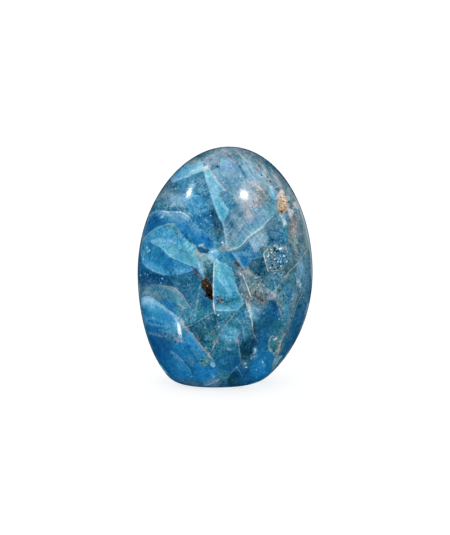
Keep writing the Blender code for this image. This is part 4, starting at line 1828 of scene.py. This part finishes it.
def grown_colour(recipe, place):
    """The sides and back: crystals of two sizes, some of which melt into each other, under hazes,
    with pale veins between them and brown stains."""
    drift = recipe.noise(place, 9.0 * MM, 2.0, salt=4.0).out(1)
    bent = recipe.add(
        "ShaderNodeVectorMath",
        {"operation": "MULTIPLY_ADD"},
        {0: drift, 1: (4.0 * MM, 4.0 * MM, 4.0 * MM), 2: place},
    )
    large = recipe.turned(bent, (20, 35, -25), (10.0 * MM, 15.0 * MM, 26.0 * MM))
    small = recipe.turned(bent, (-40, 15, 50), (4.5 * MM, 7.0 * MM, 12.0 * MM))
    melt = recipe.ease(recipe.noise(place, 9.0 * MM, 2.0, salt=23.0), 0.48, 0.60, 0.0, 0.85)
    ragged = (recipe.noise(place, 1.0 * MM, 3.0, salt=2.0) - 0.5) * 0.05

    layers = []
    for grid, width in ((large, 0.014), (small, 0.026)):
        cell = recipe.cells(grid)
        soft = recipe.add(
            "ShaderNodeTexVoronoi",
            {"feature": "SMOOTH_F1"},
            {"Vector": grid, "Scale": 1.0, "Smoothness": 0.55},
            output="Color",
        )
        chance, other, third = recipe.parts(cell.out("Color"))
        chance = chance + (recipe.parts(soft)[0] - chance) * melt
        inside = recipe.add(
            "ShaderNodeVectorMath", {"operation": "SUBTRACT"}, {0: grid, 1: cell.out("Position")}
        )
        lit = recipe.add(
            "ShaderNodeVectorMath", {"operation": "DOT_PRODUCT"}, {0: inside, 1: (0.5, 0.6, 0.7)}, output="Value"
        )
        tone = recipe.add("ShaderNodeValToRGB", {"stops": MOSAIC_STOPS}, {0: chance + lit * (1.0 - melt) * 0.34})
        gap = recipe.cells(grid, "DISTANCE_TO_EDGE") + ragged
        glow = recipe.ease(gap, 0.15, 0.0) * recipe.ease(third, 0.45, 0.60) * (1.0 - melt)
        tone = recipe.mix(glow * 0.60, tone, solid("pale_sky"))
        layers.append((tone, other, recipe.ease(gap, width * 1.8, width * 0.4) * (1.0 - melt)))

    (tone, other, line), (small_tone, _, small_line) = layers
    broken = recipe.ease(other + (recipe.noise(place, 6.0 * MM, salt=5.0) - 0.5) * 0.5, 0.54, 0.60)
    colour = recipe.mix(broken * 0.85, tone, small_tone)
    for salt, size, low, high, most, name in (
        (24.0, 13.0, 0.48, 0.66, 0.50, "haze/grey_blue"),
        (25.0, 11.0, 0.50, 0.68, 0.60, "navy/ocean"),
        (26.0, 7.0, 0.54, 0.70, 0.55, "mauve/light_grey"),
        (27.0, 8.0, 0.56, 0.70, 0.45, "olive/teal"),
    ):
        veil = recipe.ease(recipe.noise(bent, size * MM, 4.0, salt=salt, rough=0.6), low, high, 0.0, most)
        colour = recipe.mix(veil, colour, solid(name))
    patchy = recipe.ease(recipe.noise(place, 5.0 * MM, 3.0, salt=6.0), 0.44, 0.58)
    cream = recipe.ease(recipe.noise(place, 3.0 * MM, 2.0, salt=16.0), 0.50, 0.60, 0.0, 0.6)
    pale = recipe.mix(cream, solid("pale_haze"), solid("cream"))
    colour = recipe.mix(line * patchy * 0.80, colour, pale)
    colour = recipe.mix(small_line * patchy * broken * 0.50, colour, pale)
    stain = recipe.ease(recipe.noise(place, 2.4 * MM, 4.0, salt=7.0), 0.62, 0.70)
    where = recipe.ease(recipe.noise(place, 15.0 * MM, 2.0, salt=8.0), 0.55, 0.66)
    return recipe.mix(stain * where * 0.85, colour, solid("rust"))


def chipped(recipe, place):
    """Splinters that lie one way in some parts of the stone and another way in others: a chance
    for each about 0, and its seams, which are pale in some parts and dark in others."""
    drift = recipe.noise(place, 2.6 * MM, 2.0, salt=20.0).out(1)
    bent = recipe.add(
        "ShaderNodeVectorMath",
        {"operation": "MULTIPLY_ADD"},
        {0: drift, 1: (1.0 * MM, 1.0 * MM, 1.0 * MM), 2: place},
    )
    found = []
    for turn in ((20, 35, 10), (-10, -40, 25)):
        grid = recipe.turned(bent, turn, (1.3 * MM, 2.6 * MM, 4.0 * MM))
        chance = recipe.parts(recipe.cells(grid).out("Color"))[0]
        found.append((chance, recipe.ease(recipe.cells(grid, "DISTANCE_TO_EDGE"), 0.10, 0.02)))
    other = recipe.ease(recipe.noise(place, 9.0 * MM, 2.0, salt=22.0), 0.47, 0.53)
    chance = found[0][0] + (found[1][0] - found[0][0]) * other
    seam = found[0][1] + (found[1][1] - found[0][1]) * other
    pale = recipe.ease(recipe.noise(place, 3.4 * MM, 2.0, salt=21.0), 0.40, 0.60, -0.8, 1.0)
    return chance - 0.5, seam * pale


def polished_apatite(look, counts):
    """Blue apatite of many crystals under a clear polish."""
    material = bpy.data.materials.new("polished_apatite")
    material.use_nodes = True
    material.node_tree.nodes.clear()
    recipe = Recipe(material.node_tree)
    place = recipe.add("ShaderNodeTexCoord", output="Object")

    faced, cover, _ = recipe.parts(recipe.attribute("face_state"))
    face_frost, glitter, fibre = recipe.parts(recipe.attribute("grain_state"))
    verge = faced + (recipe.noise(place, 5.0 * MM, 3.0, salt=9.0) - 0.5) * 0.34
    shown = recipe.ease(verge, 0.17, 0.32)
    back_frost = recipe.ease(recipe.noise(place, 22.0 * MM, 2.0, salt=10.0), 0.38, 0.66, 0.15, 0.9)
    frost = back_frost + (face_frost - back_frost) * shown
    colour = recipe.mix(shown, grown_colour(recipe, place), traced_colour(recipe, place, counts, cover))

    clump = recipe.ease(recipe.noise(place, 3.6 * MM, 2.0, salt=14.0), 0.36, 0.66, 0.45, 1.55)
    fine = (recipe.noise(place, 0.80 * MM, 2.0, salt=11.0, rough=0.95) - 0.5) * clump
    cloud = recipe.noise(place, 2.4 * MM, 2.0, salt=12.0, rough=0.7) - 0.5
    strands = recipe.turned(place, (0, -57, 0), (9.0 * MM, 1.5 * MM, 0.9 * MM))
    strand = (recipe.noise(strands, 1.0, 3.0, salt=15.0, rough=0.7) - 0.5) * fibre
    # Painted sparkle: bright specks that stand for light caught by cracks inside the stone, where the grain has
    # glitter, with small dark pits among them
    painted_sparkle = recipe.ease(recipe.noise(place, 0.9 * MM, 1.0, salt=18.0), 0.60, 0.74) * glitter
    pit = recipe.ease(recipe.noise(place, 1.1 * MM, 1.0, salt=19.0), 0.58, 0.72) * glitter
    chip, seam = chipped(recipe, place)
    uneven = fine * 2.9 + cloud * 1.1 + chip * 0.30 + seam * 0.38
    milkiness = uneven * (0.36 + 0.64 * frost) * (1.0 - 0.45 * fibre) * look.mottle
    milkiness = milkiness + strand * 3.0 + painted_sparkle * 1.6 - pit * 0.9
    colour = recipe.whiten(colour, milkiness * 0.28)
    hue = (recipe.noise(place, 4.5 * MM, 2.0, salt=13.0) - 0.5) * 0.20
    shift = recipe.add("ShaderNodeCombineXYZ", None, {0: 1.0, 1: 1.0 + hue, 2: 1.0 - hue})
    colour = recipe.add("ShaderNodeVectorMath", {"operation": "MULTIPLY"}, {0: colour, 1: shift})

    shader = recipe.add(
        "ShaderNodeBsdfPrincipled",
        None,
        {
            "Base Color": colour,
            "Roughness": 0.30,
            "IOR": look.refraction,
            "Specular IOR Level": 0.08,
            "Coat Weight": 1.0,
            "Coat Roughness": look.polish,
            "Coat IOR": look.refraction,
        },
    )
    end = material.node_tree.nodes.new("ShaderNodeOutputMaterial")
    material.node_tree.links.new(shader.socket, end.inputs["Surface"])
    return material


# ---------------------------------------------------------------- settings


class StoneForm(bpy.types.PropertyGroup):
    egg_width: FloatProperty(
        name="Egg Width", description="Width before the flats are ground", default=66.0 * MM, unit="LENGTH"
    )
    egg_depth: FloatProperty(
        name="Egg Depth", description="Depth before the flats are ground", default=47.0 * MM, unit="LENGTH"
    )
    egg_height: FloatProperty(
        name="Egg Height", description="Height before the flats are ground", default=90.2 * MM, unit="LENGTH"
    )
    belly_height: FloatProperty(
        name="Belly Height", description="How high the widest level is", default=41.9 * MM, unit="LENGTH"
    )
    tail_reach: FloatProperty(
        name="Tail Reach",
        description="How far the egg would reach below its belly if it weren't cut off flat",
        default=48.4 * MM,
        unit="LENGTH",
    )
    top_lean: FloatProperty(
        name="Top Lean", description="How far the top leans to the right", default=1.0 * MM, unit="LENGTH"
    )
    foot_lean: FloatProperty(
        name="Foot Lean", description="How far the foot leans to the right", default=-4.2 * MM, unit="LENGTH"
    )
    section_power: FloatProperty(
        name="Section Power",
        description="2 makes the section an ellipse, and more makes its faces broader",
        default=2.25,
        min=1.0,
    )
    foot_rounding: FloatProperty(
        name="Foot Rounding",
        description="How far above the base the sides begin to turn under",
        default=3.5 * MM,
        min=0.1 * MM,
        unit="LENGTH",
    )


class StoneLook(bpy.types.PropertyGroup):
    mottle: FloatProperty(
        name="Mottle", description="How uneven the colour is inside a crystal", default=1.0, min=0.0, max=3.0
    )
    refraction: FloatProperty(
        name="Refractive Index", description="Of apatite, for its gloss", default=1.63, min=1.0, max=2.5
    )
    polish: FloatProperty(
        name="Polish Roughness", description="0 is a perfect mirror", default=0.12, min=0.0, max=1.0
    )


class StudioLight(bpy.types.PropertyGroup):
    floor_colour: FloatVectorProperty(
        name="Floor Colour", description="Of the plain floor", default=(0.35, 0.35, 0.35), subtype="COLOR", min=0.0, max=1.0
    )
    floor_glow: FloatProperty(
        name="Floor Glow", description="How much light the floor gives of itself", default=0.75, min=0.0
    )
    dome: FloatProperty(
        name="Dome", description="Strength of the soft light from all round", default=1.0, min=0.0
    )
    lamp: FloatProperty(
        name="Lamps", description="Radiance of the small lamps that glint on the polish", default=45.0, min=0.0
    )
    side: FloatProperty(
        name="Side Light", description="Radiance of the tall soft light behind the right side", default=0.7, min=0.0
    )


# ---------------------------------------------------------------- operators


class APATITE_OT_make_stone(bpy.types.Operator):
    """Make the stone with its crystals and its polish"""

    bl_idname = "apatite.make_stone"
    bl_label = "Make Stone"

    def execute(self, context):
        scene = context.scene
        mesh = grow_egg(scene.apatite_form, None)
        face_outwards(mesh)
        sink_pits(mesh)
        counts = trace_face(mesh)
        mesh.materials.clear()
        mesh.materials.append(polished_apatite(scene.apatite_look, counts))
        stone = bpy.data.objects.new("polished_stone", mesh)
        scene.collection.objects.link(stone)
        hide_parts("stone")
        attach(stone, "root")
        return {"FINISHED"}


class APATITE_OT_set_stage(bpy.types.Operator):
    """Lay the floor, hang the lights and stand the camera"""

    bl_idname = "apatite.set_stage"
    bl_label = "Set Stage"

    def execute(self, context):
        stone = bpy.data.objects.get("polished_stone")
        if stone is None:
            raise RuntimeError("The stone has to be made before its stage.")
        studio = context.scene.apatite_studio
        lay_floor(studio)
        light_dome(studio)
        hang_lamps(studio, stone)
        stand_camera()
        return {"FINISHED"}


def lay_floor(studio):
    half = FLOOR_SIDE / 2
    mesh = bpy.data.meshes.new("studio_floor")
    mesh.from_pydata([(-half, -half, 0), (half, -half, 0), (half, half, 0), (-half, half, 0)], [], [(0, 1, 2, 3)])
    material = bpy.data.materials.new("pale_floor")
    material.use_nodes = True
    shader = material.node_tree.nodes["Principled BSDF"]
    shader.inputs["Base Color"].default_value = (*studio.floor_colour, 1.0)
    shader.inputs["Roughness"].default_value = 1.0
    shader.inputs["Specular IOR Level"].default_value = 0.0
    shader.inputs["Emission Color"].default_value = (1.0, 1.0, 1.0, 1.0)
    shader.inputs["Emission Strength"].default_value = studio.floor_glow
    mesh.materials.append(material)
    floor = bpy.data.objects.new("studio_floor", mesh)
    bpy.context.scene.collection.objects.link(floor)
    floor.visible_glossy = False


def light_dome(studio):
    world = bpy.data.worlds.new("studio_dome")
    world.use_nodes = True
    background = world.node_tree.nodes["Background"]
    background.inputs["Color"].default_value = (1.0, 1.0, 1.0, 1.0)
    background.inputs["Strength"].default_value = studio.dome
    world.cycles_visibility.glossy = False
    bpy.context.scene.world = world
    bpy.context.scene.view_settings.view_transform = "Standard"


def photo_ray(pixel):
    """Where the photograph's camera stands, and the way to a pixel of the photograph."""
    eye, forward, up = photo_camera()
    right = forward.cross(up)
    way = (
        forward
        + right * ((pixel[0] - PHOTO_WIDTH / 2) / CAMERA_FOCUS_PIXELS)
        - up * ((pixel[1] - PHOTO_HEIGHT / 2) / CAMERA_FOCUS_PIXELS)
    )
    return eye, way.normalized()


def polish_normal(mesh, face_index, place):
    """The smooth normal of the stone at a place on one of its faces."""
    normal = Vector()
    for index in mesh.polygons[face_index].vertices:
        vertex = mesh.vertices[index]
        normal += vertex.normal / (1e-5 + (vertex.co - place).length)
    return normal.normalized()


def hang_lamps(studio, stone):
    """Hangs each lamp where the polish mirrors it at its pixel of the photograph."""
    for name, pixel, width, height, roll, share in LAMPS:
        eye, way = photo_ray(pixel)
        met, place, _, face_index = stone.ray_cast(eye, way)
        if not met:
            raise RuntimeError(f"The stone isn't seen where the {name} should glint.")
        normal = polish_normal(stone.data, face_index, place)
        mirrored = way.reflect(normal)
        light = bpy.data.lights.new(name, "AREA")
        light.shape = "ELLIPSE"
        light.size = width
        light.size_y = height
        radiance = (studio.side if name == "side_light" else studio.lamp) * share
        light.energy = radiance * math.pi * (math.pi / 4 * width * height)
        lamp = bpy.data.objects.new(name, light)
        lamp.visible_diffuse = False
        lamp.location = place + mirrored * LAMP_DISTANCE
        turn = mirrored.to_track_quat("Z", "Y").to_matrix().to_4x4()
        lamp.rotation_euler = (turn @ Matrix.Rotation(math.radians(roll), 4, "Z")).to_euler()
        bpy.context.scene.collection.objects.link(lamp)


def stand_camera():
    eye, _, _ = photo_camera()
    data = bpy.data.cameras.new("photo_camera")
    data.lens = CAMERA_FOCUS_PIXELS * SENSOR_MM / max(PHOTO_WIDTH, PHOTO_HEIGHT)
    data.sensor_width = SENSOR_MM
    data.clip_start = 0.01
    camera = bpy.data.objects.new("photo_camera", data)
    camera.location = eye
    camera.rotation_euler = (math.pi / 2 - CAMERA_RISE, 0.0, 0.0)
    bpy.context.scene.collection.objects.link(camera)
    bpy.context.scene.camera = camera


# ---------------------------------------------------------------- panel


class APATITE_PT_panel(bpy.types.Panel):
    """The stone, its looks and its studio"""

    bl_label = "Apatite Freeform"
    bl_space_type = "VIEW_3D"
    bl_region_type = "UI"
    bl_category = "Apatite"

    def draw(self, context):
        scene = context.scene
        for title, group, operator in (
            ("Form", scene.apatite_form, None),
            ("Look", scene.apatite_look, "apatite.make_stone"),
            ("Studio", scene.apatite_studio, "apatite.set_stage"),
        ):
            box = self.layout.box()
            box.label(text=title)
            for name in group.__annotations__:
                box.prop(group, name)
            if operator:
                box.operator(operator)


CLASSES = (StoneForm, StoneLook, StudioLight, APATITE_OT_make_stone, APATITE_OT_set_stage, APATITE_PT_panel)


def register():
    for kind in CLASSES:
        bpy.utils.register_class(kind)
    bpy.types.Scene.apatite_form = PointerProperty(type=StoneForm)
    bpy.types.Scene.apatite_look = PointerProperty(type=StoneLook)
    bpy.types.Scene.apatite_studio = PointerProperty(type=StudioLight)


def unregister():
    del bpy.types.Scene.apatite_studio
    del bpy.types.Scene.apatite_look
    del bpy.types.Scene.apatite_form
    for kind in reversed(CLASSES):
        bpy.utils.unregister_class(kind)


def main():
    register()
    bpy.ops.apatite.make_stone()
    bpy.ops.apatite.set_stage()


if __name__ == "__main__":
    main()
